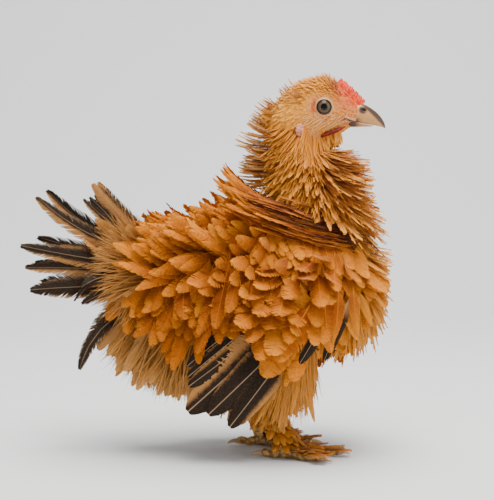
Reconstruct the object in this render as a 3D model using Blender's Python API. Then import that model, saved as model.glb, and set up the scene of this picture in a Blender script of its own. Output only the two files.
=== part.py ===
"""Frizzle bantam chicken, a still life-size model that stands on its two feathered feet.

The bird faces +X, its left side is +Y and +Z is up. The floor is z = 0 and the origin lies on it,
under the middle of the bird's outline. Places are written in millimetres from a point on the floor
beside the right ankle: MM turns them into metres when a mesh is made, and MIDDLE_X moves the
finished nodes. Each feathered node is a smooth core with its feathers fused to it as thin curled vanes.
"""

import math
import random

import bmesh
import bpy
import numpy as np
from mathutils import Matrix

MM = 0.001
MIDDLE_X = -46.06  # where the middle of the finished outline falls
GAP = 0.3  # space that neighbouring nodes keep
GROWN = 0.4  # how far a cutter made from a neighbour stands proud of it
SIDES = (("right", -1), ("left", 1))
UP = np.array((0.0, 0.0, 1.0))
LEFT = np.array((0.0, 1.0, 0.0))
FORWARD = np.array((1.0, 0.0, 0.0))

# Cores. Each row is (x, y, z, half height, half width) of one elliptic section; half height runs
# along X where the sections lie level.
TORSO_ROWS = (
    (-92, 0, 118, 5, 6),
    (-80, 0, 114.5, 14.5, 16),
    (-60, 0, 107.5, 24.5, 26),
    (-32, 0, 102, 32, 32),
    (-4, 0, 102, 36, 35),
    (20, 0, 105, 34, 34),
    (38, 0, 107.5, 27.5, 28),
    (50, 0, 108.5, 16.5, 18),
    (56, 0, 108, 6, 7),
)
NECK_ROWS = (
    (14, 0, 122, 25, 24),
    (15, 0, 150, 25, 24),
    (15, 0, 165, 21, 19),
    (13, 0, 180, 17, 15),
    (12, 0, 195, 15.5, 13),
    (12, 0, 207, 13.5, 12),
)
HEAD_ROWS = (
    (-9.5, 0, 210, 5, 5),
    (-6, 0, 210, 12, 10),
    (3, 0, 211, 18, 13.5),
    (14, 0, 212, 20.3, 14.5),
    (25, 0, 213, 19, 13.4),
    (34, 0, 212.2, 15, 10.8),
    (41, 0, 210.9, 9.9, 7.6),
    (46, 0, 209.6, 6.5, 5.4),
)
THIGH_ROWS = (
    (2, 19, 84, 16, 10.5),
    (0, 19.5, 70, 16, 10),
    (-5, 20, 54, 13, 9),
    (-10, 20.5, 40, 9, 7.5),
    (-11, 21, 30, 6, 5.5),
)
WING_ROWS = (
    (42, 31, 108, 7, 2.5),
    (32, 36, 107, 18, 5),
    (10, 39.5, 101, 23, 6),
    (-12, 40, 89, 20, 6),
    (-30, 39, 75, 13, 5),
    (-38, 38, 68, 6, 2.5),
)
WING_LEAN = 0.16  # the wing's upper edge leans in over the back
UPPER_BILL_ROWS = (
    (42, 0, 210.9, 6.2, 4.9),
    (46, 0, 210.8, 6.2, 4.8),
    (50, 0, 209.8, 5.8, 4.2),
    (54, 0, 208.1, 4.8, 3.4),
    (57.5, 0, 206.2, 3.5, 2.5),
    (60, 0, 204.2, 2.2, 1.5),
    (61.3, 0, 202.6, 1.1, 0.8),
)
LOWER_BILL_ROWS = (
    (41, 0, 203.4, 3.2, 5.0),
    (46, 0, 203.0, 2.6, 4.3),
    (52, 0, 202.7, 1.8, 3.2),
    (57, 0, 202.4, 1.0, 1.9),
)

# Head details
EYE = (23.9, 7.6, 215.0)  # centre of the eyeball; y is mirrored for the other side
EYE_RADIUS = 6.6
LID_RADIUS, LID_TUBE, LID_Y = 4.9, 1.0, 12.7
COMB_FOOT, COMB_TOP = (46.6, 216.6), (31.0, 229.6)
COMB_POINTS, COMB_HIGH, COMB_LOW, COMB_HALF, COMB_SINK = 6, 2.9, 1.2, 1.2, 4.0
WATTLE, WATTLE_RADII, WATTLE_TILT = (29.0, 7.6, 199.4), (7.5, 2.4, 2.7), -20
LOBE, LOBE_RADII = (9.3, 10.5, 199.0), (3.0, 1.9, 4.6)
MOUTH, MOUTH_DEEP = ((34.5, 207.0), (48, 204.9), (48, 204.3), (34.5, 206.5)), (4, 14)
NOSTRIL, NOSTRIL_RADII, NOSTRIL_TILT = (48.6, 3.9, 212.4), (1.6, 0.9, 0.8), 20

# Legs
ANKLE_X = {"right": 0.0, "left": -15.0}
LEG_Y, HOCK_Z, ANKLE_Z = 21.0, 30.0, 8.0
SHANK_PATH, SHANK_RADII = ((-11, 38), (-6, 19), (0, 2)), (4.4, 3.6, 4.2)
TOES = ((8, 34), (42, 26), (-34, 27), (172, 15))  # angle from forward, and length
TOE_RADIUS, TOE_AXIS_Z, FOOT_HUB = 2.9, 2.5, (5.5, 5, 4)
CLAW_RADII = (1.6, 1.15, 0.35)

# Where the neck's ruff parts from the body: a roof that rises backwards from a low ridge and falls to both sides.
ROOF_X, ROOF_Z, ROOF_FRONT_FALL, ROOF_BACK_RISE, ROOF_SIDE_FALL, FAR = 9.0, 143.0, 0.25, 0.6, 0.30, 150.0
# Where the tail parts from the body: a wedge that opens backwards from its edge in the rump.
WEDGE_X, WEDGE_Z, WEDGE_UP, WEDGE_DOWN, WEDGE_LONG = -76.0, 118.0, 124.0, 236.0, 150.0
WEDGE_HALF, WEDGE_FAR_HALF = 16.0, 95.0

# Vanes
VANE_THICK, TIP_THICK = 0.7, 0.45
# Each shape is pairs of a place along the vane and its share of the full width there.
BROAD = ((0.0, 0.5), (0.6, 1.0), (1.0, 0.38))
POINTED = ((0.0, 0.55), (0.5, 1.0), (1.0, 0.15))
QUILL = ((0.0, 0.3), (0.4, 0.8), (0.8, 1.0), (1.0, 0.3))


def through(rows, steps):
    """Rows read from a smooth curve through the given ones, steps to each span."""
    places = np.linspace(0, len(rows) - 1, (len(rows) - 1) * steps + 1)
    return np.array([row_at(rows, place) for place in places])


def row_at(rows, place):
    """The row at a place counted in rows, on a Hermite curve through them."""
    keys = np.array(rows, float)
    slope = np.gradient(keys, axis=0)
    i = min(int(place), len(keys) - 2)
    t = place - i
    return (
        (2 * t**3 - 3 * t**2 + 1) * keys[i]
        + (t**3 - 2 * t**2 + t) * slope[i]
        + (3 * t**2 - 2 * t**3) * keys[i + 1]
        + (t**3 - t**2) * slope[i + 1]
    )


def on_section(row, turn, upright, mirror, lean=0.0):
    """A point of an elliptic section. Turn is 0 at its top, or at its front where it lies level."""
    x, y, z, high, wide = row
    reach = high * math.cos(turn)
    across = (y + wide * math.sin(turn) - lean * reach) * mirror
    if upright:
        return np.array((x, across, z + reach))
    return np.array((x + reach, across, z))


def spot(rows, place, turn, upright, mirror=1, lean=0.0):
    """A point on a core and the unit normal that points out of it there."""
    step = 0.02
    here = on_section(row_at(rows, place), turn, upright, mirror, lean)
    further = on_section(row_at(rows, place + step), turn, upright, mirror, lean)
    round_it = on_section(row_at(rows, place), turn + step, upright, mirror, lean)
    normal = unit(np.cross(further - here, round_it - here))
    x, y, z = row_at(rows, place)[:3]
    return here, normal if normal @ (here - (x, y * mirror, z)) > 0 else -normal


def unit(vector):
    return np.array(vector, float) / np.linalg.norm(vector)


def principled(name, colour, roughness):
    """A plain Principled material of one colour."""
    material = bpy.data.materials.new(name)
    material.use_nodes = True
    shader = material.node_tree.nodes["Principled BSDF"]
    shader.inputs["Base Color"].default_value = (*colour, 1)
    shader.inputs["Roughness"].default_value = roughness
    material.diffuse_color = (*colour, 1)
    return material


def placed(name, mesh):
    obj = bpy.data.objects.new(name, mesh)
    bpy.context.scene.collection.objects.link(obj)
    return obj


def object_of(name, points, faces, grow=0.0):
    """A mesh object from points in millimetres, its faces turned outwards, grown along its normals if asked."""
    mesh = bpy.data.meshes.new(name)
    mesh.from_pydata([tuple(p) for p in points], [], [tuple(f) for f in faces])
    made = bmesh.new()
    made.from_mesh(mesh)
    bmesh.ops.recalc_face_normals(made, faces=made.faces)
    if grow:
        made.normal_update()
        moves = [(v, v.normal * grow * v.calc_shell_factor()) for v in made.verts]
        for vertex, move in moves:
            vertex.co += move
    bmesh.ops.scale(made, vec=(MM, MM, MM), verts=made.verts)
    bmesh.ops.triangulate(made, faces=made.faces)
    made.to_mesh(mesh)
    made.free()
    return placed(name, mesh)


def rings(sections):
    """Points and faces of a closed loft through rings of equal count."""
    count = len(sections[0])
    points = [p for ring in sections for p in ring]
    faces = []
    for i in range(len(sections) - 1):
        a, b = i * count, (i + 1) * count
        faces += [(a + k, a + (k + 1) % count, b + (k + 1) % count, b + k) for k in range(count)]
    faces.append(tuple(range(count))[::-1])
    faces.append(tuple(range(len(points) - count, len(points))))
    return points, faces


def core(rows, sides, steps, upright, mirror=1, grow=0.0, lean=0.0):
    """A closed loft through elliptic sections."""
    turns = np.linspace(0, 2 * math.pi, sides, endpoint=False)
    found = [[on_section(row, turn, upright, mirror, lean) for turn in turns] for row in through(rows, steps)]
    return object_of("core", *rings(found), grow)


def tube(path, radii, sides=8):
    """A round tapered limb along a path, its rings square to the path."""
    path = np.array(path, float)
    turn = np.linspace(0, 2 * math.pi, sides, endpoint=False)[:, None]
    found = []
    for centre, forward, radius in zip(path, np.gradient(path, axis=0), radii):
        forward = unit(forward)
        across = unit(np.cross(forward, UP if abs(forward[2]) < 0.9 else FORWARD))
        over = np.cross(across, forward)
        found.append(centre + radius * (across * np.cos(turn) + over * np.sin(turn)))
    return object_of("tube", *rings(found))


def plate(outline, inner, outer, mirror=1):
    """A flat outline in X and Z, closed between two distances from the middle plane."""
    return object_of("plate", *rings([[(x, y * mirror, z) for x, z in outline] for y in (inner, outer)]))


def ellipsoid(centre, radii, segments, grow=0.0, tilt=0.0):
    """Blender's UV sphere, scaled and tilted about Y by some degrees."""
    mesh = bpy.data.meshes.new("ellipsoid")
    made = bmesh.new()
    bmesh.ops.create_uvsphere(made, u_segments=segments, v_segments=segments // 2 + 1, radius=1)
    bmesh.ops.scale(made, vec=[(r + grow) * MM for r in radii], verts=made.verts)
    bmesh.ops.rotate(made, matrix=Matrix.Rotation(math.radians(tilt), 3, "Y"), verts=made.verts)
    bmesh.ops.translate(made, vec=[c * MM for c in centre], verts=made.verts)
    bmesh.ops.triangulate(made, faces=made.faces)
    made.to_mesh(mesh)
    made.free()
    return placed("ellipsoid", mesh)


def vane(root, along, out, length, width, curl=0.0, bend=0.0, shape=BROAD, sink=3.0, grow=0.0):
    """One feather: a thin tapered blade from a sunk root, its two faces split into triangles alike.

    It starts in the direction along with its upper face towards out. Curl turns it towards out and
    bend turns it sideways, in degrees at the tip.
    """
    along = unit(along)
    out = unit(out - along * (out @ along))
    side = np.cross(along, out)
    fine = 16
    share = np.arange(fine + 1) / fine
    lean = np.radians(curl) * share**1.3
    swing = np.radians(bend) * share**1.3
    ahead = along * np.cos(lean)[:, None] + out * np.sin(lean)[:, None]
    ahead = ahead * np.cos(swing)[:, None] + side * np.sin(swing)[:, None]
    facing = out * np.cos(lean)[:, None] - along * np.sin(lean)[:, None]
    steps = (ahead[1:] + ahead[:-1]) / 2 * (length + grow) / fine
    path = root + np.vstack([np.zeros(3), np.cumsum(steps, axis=0)])
    corners = []
    for at, share_wide in shape:
        k = round(at * fine)
        half = width / 2 * share_wide + grow
        thick = (VANE_THICK + (TIP_THICK - VANE_THICK) * at) / 2 + grow
        middle = path[k] - ahead[0] * sink * (at == 0)
        across = unit(np.cross(ahead[k], facing[k]))
        over = unit(np.cross(across, ahead[k]))
        corners += [
            middle - across * half + over * thick,
            middle + across * half + over * thick,
            middle + across * half - over * thick,
            middle - across * half - over * thick,
        ]
    faces = [(0, 2, 1), (0, 3, 2)]
    last = 4 * (len(shape) - 1)
    for a in range(0, last, 4):
        b = a + 4
        faces += [(a, a + 1, b + 1), (a, b + 1, b), (a + 3, b + 2, a + 2), (a + 3, b + 3, b + 2)]
        faces += [(a + 1, a + 2, b + 2), (a + 1, b + 2, b + 1), (a, b + 3, a + 3), (a, b, b + 3)]
    faces += [(last, last + 1, last + 2), (last, last + 2, last + 3)]
    return object_of("vane", corners, faces)


def combined(base, others, operation):
    """base with the other objects joined to it or cut from it, which are then removed."""
    group = bpy.data.collections.new("operands")
    bpy.context.scene.collection.children.link(group)
    for other in others:
        for holder in list(other.users_collection):
            holder.objects.unlink(other)
        group.objects.link(other)
    change = base.modifiers.new("combine", "BOOLEAN")
    change.operation = operation
    change.solver = "MANIFOLD"
    change.operand_type = "COLLECTION"
    change.collection = group
    bpy.context.view_layer.update()
    graph = bpy.context.evaluated_depsgraph_get()
    mesh = bpy.data.meshes.new_from_object(base.evaluated_get(graph))
    base.modifiers.clear()
    base.data = mesh
    for other in others:
        bpy.data.objects.remove(other)
    bpy.data.collections.remove(group)
    return largest(base)


def largest(obj):
    """obj with only its largest closed surface left, in triangles."""
    made = bmesh.new()
    made.from_mesh(obj.data)
    bmesh.ops.triangulate(made, faces=made.faces)
    left = set(made.faces)
    groups = []
    while left:
        group, edge = set(), [left.pop()]
        while edge:
            face = edge.pop()
            group.add(face)
            near = {other for link in face.edges for other in link.link_faces} & left
            left -= near
            edge += near
        groups.append(group)
    keep = max(groups, key=lambda group: abs(sum(signed(face) for face in group)))
    bmesh.ops.delete(made, geom=[f for f in made.faces if f not in keep], context="FACES")
    made.to_mesh(obj.data)
    made.free()
    return obj


def signed(face):
    """Volume of the tetrahedron from the origin to a triangle, with its sign."""
    a, b, c = (v.co for v in face.verts)
    return a.dot(b.cross(c)) / 6


def lifted(normal, lie, lift):
    """The direction of a feather that lies towards lie and stands off the surface by lift degrees."""
    flat = lie - normal * (lie @ normal)
    flat = unit(flat)
    angle = math.radians(lift)
    ahead = flat * math.cos(angle) + normal * math.sin(angle)
    return ahead, normal * math.cos(angle) - flat * math.sin(angle)


def covered(root):
    """Whether the neck's ruff, a wing or a leg hides this place on the torso."""
    x, y, z = root
    if z > roof_height(x, y) - 6:
        return True
    wing_top = np.interp(x, (-38, -30, -12, 10, 32, 42), (72, 86, 107, 122, 121, 112))
    if abs(y) > 20 and -36 < x < 40 and 70 < z < wing_top:
        return True
    return z < 84 and abs(y) > 8 and -16 < x < 20


def torso_vanes(chance):
    """Body feathers in tiers from the rump to the breast, lifted on the back and curled elsewhere."""
    found = []
    for tier, count in enumerate((8, 10, 12, 12, 12, 12, 12, 12, 10, 8)):
        place = 0.85 + tier * 0.71
        for k in range(count):
            turn = 2 * math.pi * (k + 0.5 * (tier % 2)) / count
            root, normal = spot(TORSO_ROWS, place, turn, True)
            if covered(root):
                continue
            x = root[0]
            if normal[2] > 0.45:
                length, width, lift, curl, lie = 28, 15, 44, 26, (-1.0, 0, 0)
            elif x < -44:
                length, width, lift, curl, lie = 41 - 8 * abs(normal[1]), 17, 24, 8, (-0.6, 0, -1.0)
            elif x > 30:
                length, width, lift, curl, lie = 24, 17, 22, 36, (0.0, 0, -1.0)
            elif normal[2] < -0.4:
                length, width, lift, curl, lie = 24, 17, 38, -8, (-0.4, 0, -1.0)
            else:
                length, width, lift, curl, lie = 31, 17, 26, 32, (-0.6, 0, -1.0)
            sway = LEFT * chance.uniform(-0.12, 0.12)
            ahead, out = lifted(normal, np.array(lie) + sway, lift + chance.uniform(-5, 5))
            found.append({
                "root": root, "along": ahead, "out": out, "length": length * chance.uniform(0.9, 1.1),
                "width": width, "curl": curl * chance.uniform(0.7, 1.3), "bend": chance.uniform(-9, 9),
            })
    return found


def neck_vanes(chance):
    """The ruff over the roof, then tiers of hackle up the neck that stand out behind."""
    found = []
    for tier, count in enumerate((14, 13, 12, 11, 9, 8)):
        for k in range(count):
            turn = 2 * math.pi * (k + 0.5 * (tier % 2)) / count
            behind = (1 - math.cos(turn)) / 2
            foot = roof_height(15 + 25 * math.cos(turn), 24 * math.sin(turn)) + 6
            height = foot + (203 - foot) * tier / 6
            place = np.interp(height, (122, 150, 165, 180, 195, 207), range(6))
            root, normal = spot(NECK_ROWS, place, turn, False)
            beside = abs(math.sin(turn))
            lift = 50 + 36 * behind**1.5 - 12 * beside
            length = 30 - 1.7 * tier + 5 * behind - 3 * beside
            ahead, out = lifted(normal, -UP, lift + chance.uniform(-5, 5))
            found.append({
                "root": root, "along": ahead, "out": out, "length": length * chance.uniform(0.92, 1.1),
                "width": 12 - 0.6 * tier, "curl": 24 - 8 * behind, "bend": chance.uniform(-8, 8),
                "shape": POINTED if behind > 0.6 else BROAD,
            })
    return found


def wing_vanes(side, chance):
    """Curled coverts on the outer face, then flight feathers stacked like a half closed fan."""
    found = []
    for tier, (turn, length, count) in enumerate(((34, 23, 5), (68, 26, 5), (100, 28, 5), (128, 30, 4))):
        for k in range(count):
            place = 0.7 + (3.6 if tier < 3 else 2.7) * (k + 0.5 * (tier % 2)) / count
            root, normal = spot(WING_ROWS, place, math.radians(turn), True, side, WING_LEAN)
            ahead, out = lifted(normal, np.array((-0.4, 0, -1.0)), 24 + chance.uniform(-4, 4))
            found.append({
                "root": root, "along": ahead, "out": out, "length": length * chance.uniform(0.9, 1.1),
                "width": 16, "curl": 38 * chance.uniform(0.6, 1.2), "bend": chance.uniform(-8, 8), "sink": 2.5,
            })
    flights = 8
    for k in range(flights):
        share = k / (flights - 1)
        root = np.array((18 - 44 * share, side * (38 + 1.0 * k), 84 - 12 * share))
        angle = math.radians(236 - 27 * share)
        found.append({
            "root": root, "along": np.array((math.cos(angle), side * 0.03, math.sin(angle))),
            "out": LEFT * side, "length": 80 - 28 * share + 8 * math.sin(math.pi * share), "width": 14,
            "curl": 4, "bend": -4 * side, "shape": QUILL, "sink": 9,
        })
    return found


def tail_vanes(chance):
    """Two sides of tail feathers fanned from top to bottom, with shorter coverts over their roots."""
    found = []
    for side in (-1, 1):
        for k in range(7):
            share = k / 6
            angle = math.radians(128 + 102 * share + chance.uniform(-3, 3))
            found.append({
                "root": np.array((-88, side * (3 + 5 * share), 121 - 6 * share)),
                "along": np.array((math.cos(angle), side * (0.04 + 0.26 * share), math.sin(angle))),
                "out": LEFT * side, "length": (54, 74, 76, 76, 72, 70, 62)[k] * chance.uniform(0.95, 1.03),
                "width": 14, "curl": chance.uniform(2, 12), "bend": side * (8 - 26 * share),
                "shape": QUILL, "sink": 7,
            })
        for k in range(5):
            share = k / 4
            angle = math.radians(132 + 92 * share)
            found.append({
                "root": np.array((-86, side * (7 + 2 * share), 121 - 7 * share)),
                "along": np.array((math.cos(angle), side * (0.2 + 0.25 * share), math.sin(angle))),
                "out": LEFT * side, "length": 40 * chance.uniform(0.85, 1.1), "width": 14,
                "curl": 24, "bend": side * chance.uniform(-12, 12), "sink": 6,
            })
    return found


def thigh_vanes(side, shift, chance):
    """Soft feathers that hang round the drumstick to just above the foot."""
    found = []
    for tier, (place, count, length) in enumerate(((1.5, 5, 23), (2.3, 5, 21), (3.1, 5, 18))):
        for k in range(count):
            turn = math.radians(-60 + 230 * (k + 0.5 * (tier % 2)) / count)
            root, normal = spot(THIGH_ROWS, place, turn, False, side)
            root = root + FORWARD * shift
            ahead, out = lifted(normal, -UP, 14 + chance.uniform(-3, 3))
            found.append({
                "root": root, "along": ahead, "out": out, "length": length * chance.uniform(0.9, 1.1),
                "width": 10, "curl": 12, "bend": chance.uniform(-8, 8), "shape": POINTED, "sink": 2.5,
            })
    return found


def shank_vanes(side, x):
    """Leg feathers down the outer side of the shank."""
    found = []
    for k in range(3):
        root = np.array((x - 7 + 2.5 * k, side * (LEG_Y + 2.0), 23 - 4.5 * k))
        along = np.array((-0.35 + 0.3 * k, side * 1.0, -0.42))
        found.append({
            "root": root, "along": along, "out": UP, "length": 15, "width": 8, "curl": 12,
            "shape": POINTED, "sink": 1.5,
        })
    return found


def foot_vanes(side, x):
    """Feathers that lie out from the outer and middle toes, just clear of the floor."""
    found = []
    for k, (dx, dy, angle, length) in enumerate(
        ((-3, 3, 130, 17), (3, 4, 95, 19), (10, 7, 70, 19), (16, 10, 52, 17), (20, 3, 40, 15))
    ):
        root = np.array((x + dx, side * (LEG_Y + dy), 3.4))
        a = math.radians(angle)
        along = np.array((math.cos(a), side * math.sin(a), 0.10 + 0.03 * (k % 2)))
        found.append({
            "root": root, "along": along, "out": UP, "length": length, "width": 8, "curl": 3,
            "shape": POINTED, "sink": 1.5,
        })
    return found


def vanes(settings, grow=0.0):
    return [vane(**setting, grow=grow) for setting in settings]


def roof_height(x, y):
    """Height of the roof between ruff and body."""
    fall = ROOF_FRONT_FALL if x > ROOF_X else ROOF_BACK_RISE
    return ROOF_Z - fall * (x - ROOF_X) - ROOF_SIDE_FALL * abs(y)


def roof(above, drop=0.0):
    """Everything above, or below, the roof that parts the ruff from the body."""
    found = []
    for x in (-FAR, ROOF_X, FAR):
        base = 3 * FAR if above else -FAR
        found.append([(x, y, z) for y, z in (
            (-FAR, base), (-FAR, roof_height(x, FAR) - drop), (0, roof_height(x, 0) - drop),
            (FAR, roof_height(x, FAR) - drop), (FAR, base),
        )])
    return object_of("roof", *rings(found))


def wedge(back=0.0):
    """The tail's own space, a wedge with its edge in the rump, moved back by some millimetres."""
    found = []
    for reach, half in ((0.0, WEDGE_HALF), (WEDGE_LONG, WEDGE_FAR_HALF)):
        ring = []
        for angle in (WEDGE_UP, WEDGE_DOWN):
            a = math.radians(angle)
            x = WEDGE_X - back + (reach + 3) * math.cos(a)
            z = WEDGE_Z + (reach + 3) * math.sin(a)
            ring += [(x, -half, z), (x, half, z)] if angle == WEDGE_UP else [(x, half, z), (x, -half, z)]
        found.append(ring)
    return object_of("wedge", *rings(found))


def head_cut():
    return core(HEAD_ROWS, 18, 2, True, grow=GROWN)


def upper_bill_cut():
    return core(UPPER_BILL_ROWS, 12, 1, True, grow=GROWN)


def lid_ring(side):
    """The rim of the eyelids, a torus round the opening."""
    bpy.ops.mesh.primitive_torus_add(
        major_segments=18, minor_segments=6, major_radius=LID_RADIUS * MM, minor_radius=LID_TUBE * MM,
        location=(EYE[0] * MM, side * LID_Y * MM, EYE[2] * MM), rotation=(math.pi / 2, 0, 0),
    )
    ring = bpy.context.active_object
    ring.data.transform(ring.matrix_world)
    ring.matrix_world = Matrix.Identity(4)
    return ring


def comb_blade():
    """A low single comb: a blade along the forehead with small points."""
    start, end = np.array(COMB_FOOT), np.array(COMB_TOP)
    along = (end - start) / (2 * COMB_POINTS)
    out = unit((along[1], -along[0]))
    edge = [
        start + along * i + out * (COMB_HIGH if i % 2 else COMB_LOW) for i in range(2 * COMB_POINTS + 1)
    ]
    foot = [end - out * COMB_SINK, start - out * COMB_SINK]
    blade = plate([tuple(p) for p in edge + foot], -COMB_HALF, COMB_HALF)
    return combined(blade, [head_cut(), upper_bill_cut()], "DIFFERENCE")


def sided(centre, side):
    return (centre[0], centre[1] * side, centre[2])


def face_lumps(side, grow=0.0):
    """A wattle and an ear lobe."""
    return (
        ellipsoid(sided(WATTLE, side), WATTLE_RADII, 12, grow, WATTLE_TILT),
        ellipsoid(sided(LOBE, side), LOBE_RADII, 10, grow),
    )


def head_nodes():
    """Head, bill, comb, wattles, lobes and eyes by name."""
    head = combined(core(HEAD_ROWS, 18, 2, True), [lid_ring(side) for _, side in SIDES], "UNION")
    hollows = [ellipsoid(sided(EYE, side), (EYE_RADIUS + GAP,) * 3, 16) for _, side in SIDES]
    hollows += [plate(MOUTH, *MOUTH_DEEP, side) for _, side in SIDES]
    made = {"head": combined(head, hollows, "DIFFERENCE")}
    nostrils = [ellipsoid(sided(NOSTRIL, side), NOSTRIL_RADII, 8, tilt=NOSTRIL_TILT) for _, side in SIDES]
    upper = core(UPPER_BILL_ROWS, 12, 1, True)
    made["bill_upper"] = combined(upper, [head_cut()] + nostrils, "DIFFERENCE")
    lower = core(LOWER_BILL_ROWS, 12, 1, True)
    made["bill_lower"] = combined(lower, [head_cut(), upper_bill_cut()], "DIFFERENCE")
    made["comb"] = comb_blade()
    for word, side in SIDES:
        made[f"eye_{word}"] = ellipsoid(sided(EYE, side), (EYE_RADIUS,) * 3, 14)
        wattle, lobe = face_lumps(side)
        lower_cut = core(LOWER_BILL_ROWS, 12, 1, True, grow=GROWN)
        made[f"wattle_{word}"] = combined(wattle, [head_cut(), lower_cut], "DIFFERENCE")
        made[f"earlobe_{word}"] = combined(lobe, [head_cut()], "DIFFERENCE")
    return made


def neck_node():
    neck = combined(core(NECK_ROWS, 18, 1, False), vanes(neck_vanes(random.Random(3))), "UNION")
    cutters = [roof(above=False), head_cut()]
    for _, side in SIDES:
        cutters += face_lumps(side, GROWN)
    return combined(neck, cutters, "DIFFERENCE")


def thigh_core(word, side, grow=0.0):
    rows = [(x + ANKLE_X[word], y, z, high, wide) for x, y, z, high, wide in THIGH_ROWS]
    return core(rows, 12, 1, False, side, grow)


def leg_parts(word, side, grow=0.0):
    """The thigh's core and feathers as loose pieces."""
    settings = thigh_vanes(side, ANKLE_X[word], random.Random(5 + side))
    return [thigh_core(word, side, grow)] + vanes(settings, grow)


def wing_parts(side, grow=0.0):
    """The wing's core and feathers as loose pieces."""
    body = core(WING_ROWS, 10, 1, True, side, grow, WING_LEAN)
    return [body] + vanes(wing_vanes(side, random.Random(7)), grow)


def body_nodes():
    """Torso, tail, thighs and wings by name. The wings are kept whole and cut their neighbours clear."""
    made = {}
    shell = core(TORSO_ROWS, 18, 1, True)
    torso = combined(shell, vanes(torso_vanes(random.Random(1))), "UNION")
    cutters = [roof(above=True, drop=GAP), wedge()]
    for word, side in SIDES:
        first, *others = wing_parts(side)
        wing = combined(first, others, "UNION")
        made[f"wing_{word}"] = combined(wing, [roof(above=True, drop=GAP)], "DIFFERENCE")
        first, *others = leg_parts(word, side)
        thigh = combined(first, others, "UNION")
        made[f"thigh_{word}"] = combined(thigh, wing_parts(side, GROWN), "DIFFERENCE")
        cutters += leg_parts(word, side, GROWN) + wing_parts(side, GROWN)
    made["torso"] = combined(torso, cutters, "DIFFERENCE")
    tail = combined(core(TORSO_ROWS, 18, 1, True), vanes(tail_vanes(random.Random(11))), "UNION")
    made["tail"] = combined(tail, [wedge(back=GAP)], "INTERSECT")
    return made


def block(x, y, low, high, half=30.0):
    """A square block between two heights, for level cuts."""
    corners = ((-half, -half), (half, -half), (half, half), (-half, half))
    return object_of("block", *rings([[(x + dx, y + dy, z) for dx, dy in corners] for z in (low, high)]))


def leg_nodes():
    """Shanks, feet with flat soles, and claws by name."""
    made = {}
    for word, side in SIDES:
        x, y = ANKLE_X[word], side * LEG_Y
        leg = tube([(x + dx, y, z) for dx, z in SHANK_PATH], SHANK_RADII, 8)
        leg = combined(leg, vanes(shank_vanes(side, x)), "UNION")
        cutters = [block(x, y, -20, ANKLE_Z + GAP), block(x, y, HOCK_Z - GAP, 90)]
        leg = combined(leg, cutters + leg_parts(word, side, GROWN), "DIFFERENCE")
        made[f"shank_{word}"] = leg
        ankle = np.array((x, y, TOE_AXIS_Z))
        toes = []
        for i, (angle, length) in enumerate(TOES):
            a = math.radians(-side * angle)
            along = np.array((math.cos(a), math.sin(a), 0))
            path = [ankle, ankle + along * length / 2, ankle + along * length]
            toes.append(tube(path, (TOE_RADIUS, TOE_RADIUS * 0.95, TOE_RADIUS * 0.72), 7))
            end = ankle + along * (length + GAP)
            path = [end, end + along * 2.8 + UP * 0.3, end + along * 5.6 - UP * 1.2]
            made[f"claw_{word}_{i + 1}"] = tube(path, CLAW_RADII, 6)
        foot = combined(ellipsoid((x, y, 4), FOOT_HUB, 10), toes + vanes(foot_vanes(side, x)), "UNION")
        made[f"foot_{word}"] = combined(foot, [block(x, y, -40, 0, 90), block(x, y, ANKLE_Z, 60)], "DIFFERENCE")
    return made


def main():
    for old in list(bpy.data.objects):
        bpy.data.objects.remove(old)
    materials = {
        "buff": principled("buff_feather", (0.60, 0.21, 0.035), 0.75),
        "dark": principled("dark_feather", (0.05, 0.03, 0.02), 0.6),
        "red": principled("red_skin", (0.62, 0.16, 0.10), 0.55),
        "horn": principled("horn", (0.60, 0.38, 0.22), 0.4),
        "eye": principled("eye", (0.03, 0.02, 0.015), 0.1),
        "scale": principled("leg_scale", (0.55, 0.38, 0.10), 0.5),
    }
    finish = {
        "wing": "dark", "tail": "dark", "comb": "red", "wattle": "red", "earlobe": "red",
        "bill": "horn", "claw": "horn", "eye": "eye", "shank": "scale", "foot": "scale",
    }
    bird = bpy.data.collections.new("frizzle_chicken")
    bpy.context.scene.collection.children.link(bird)
    for name, obj in (head_nodes() | {"neck": neck_node()} | body_nodes() | leg_nodes()).items():
        obj.name = name
        obj.data.transform(Matrix.Translation((-MIDDLE_X * MM, 0, 0)))
        obj.data.materials.clear()
        obj.data.materials.append(materials[finish.get(name.split("_")[0], "buff")])
        bpy.context.scene.collection.objects.unlink(obj)
        bird.objects.link(obj)


main()
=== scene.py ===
"""Looks of the frizzle bantam chicken: skin, a coat of curled feathers, and the bare parts of head and feet.

Places are written in millimetres in the bird's own frame, whose origin is on the floor beside the right
ankle; mesh_object() moves them by MIDDLE_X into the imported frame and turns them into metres.
"""

import math

import bpy
import numpy as np
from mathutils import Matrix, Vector


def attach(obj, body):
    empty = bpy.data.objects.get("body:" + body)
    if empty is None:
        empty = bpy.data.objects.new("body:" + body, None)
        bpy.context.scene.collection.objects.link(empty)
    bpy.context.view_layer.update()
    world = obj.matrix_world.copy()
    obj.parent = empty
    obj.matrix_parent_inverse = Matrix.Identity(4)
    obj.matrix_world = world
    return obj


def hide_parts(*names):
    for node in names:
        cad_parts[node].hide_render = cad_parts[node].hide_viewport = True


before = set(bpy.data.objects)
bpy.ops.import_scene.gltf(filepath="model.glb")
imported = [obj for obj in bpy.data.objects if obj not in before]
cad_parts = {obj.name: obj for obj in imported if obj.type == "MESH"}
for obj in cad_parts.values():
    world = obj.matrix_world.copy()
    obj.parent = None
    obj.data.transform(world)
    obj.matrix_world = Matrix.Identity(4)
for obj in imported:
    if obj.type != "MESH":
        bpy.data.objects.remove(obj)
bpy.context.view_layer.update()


# Skin. The flesh of a real bird is one thin warm skin from bill to tail, seen only where the coat
# parts and on the face. It is made as smooth lofts of the body's sections, fused by a voxel remesh.

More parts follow.
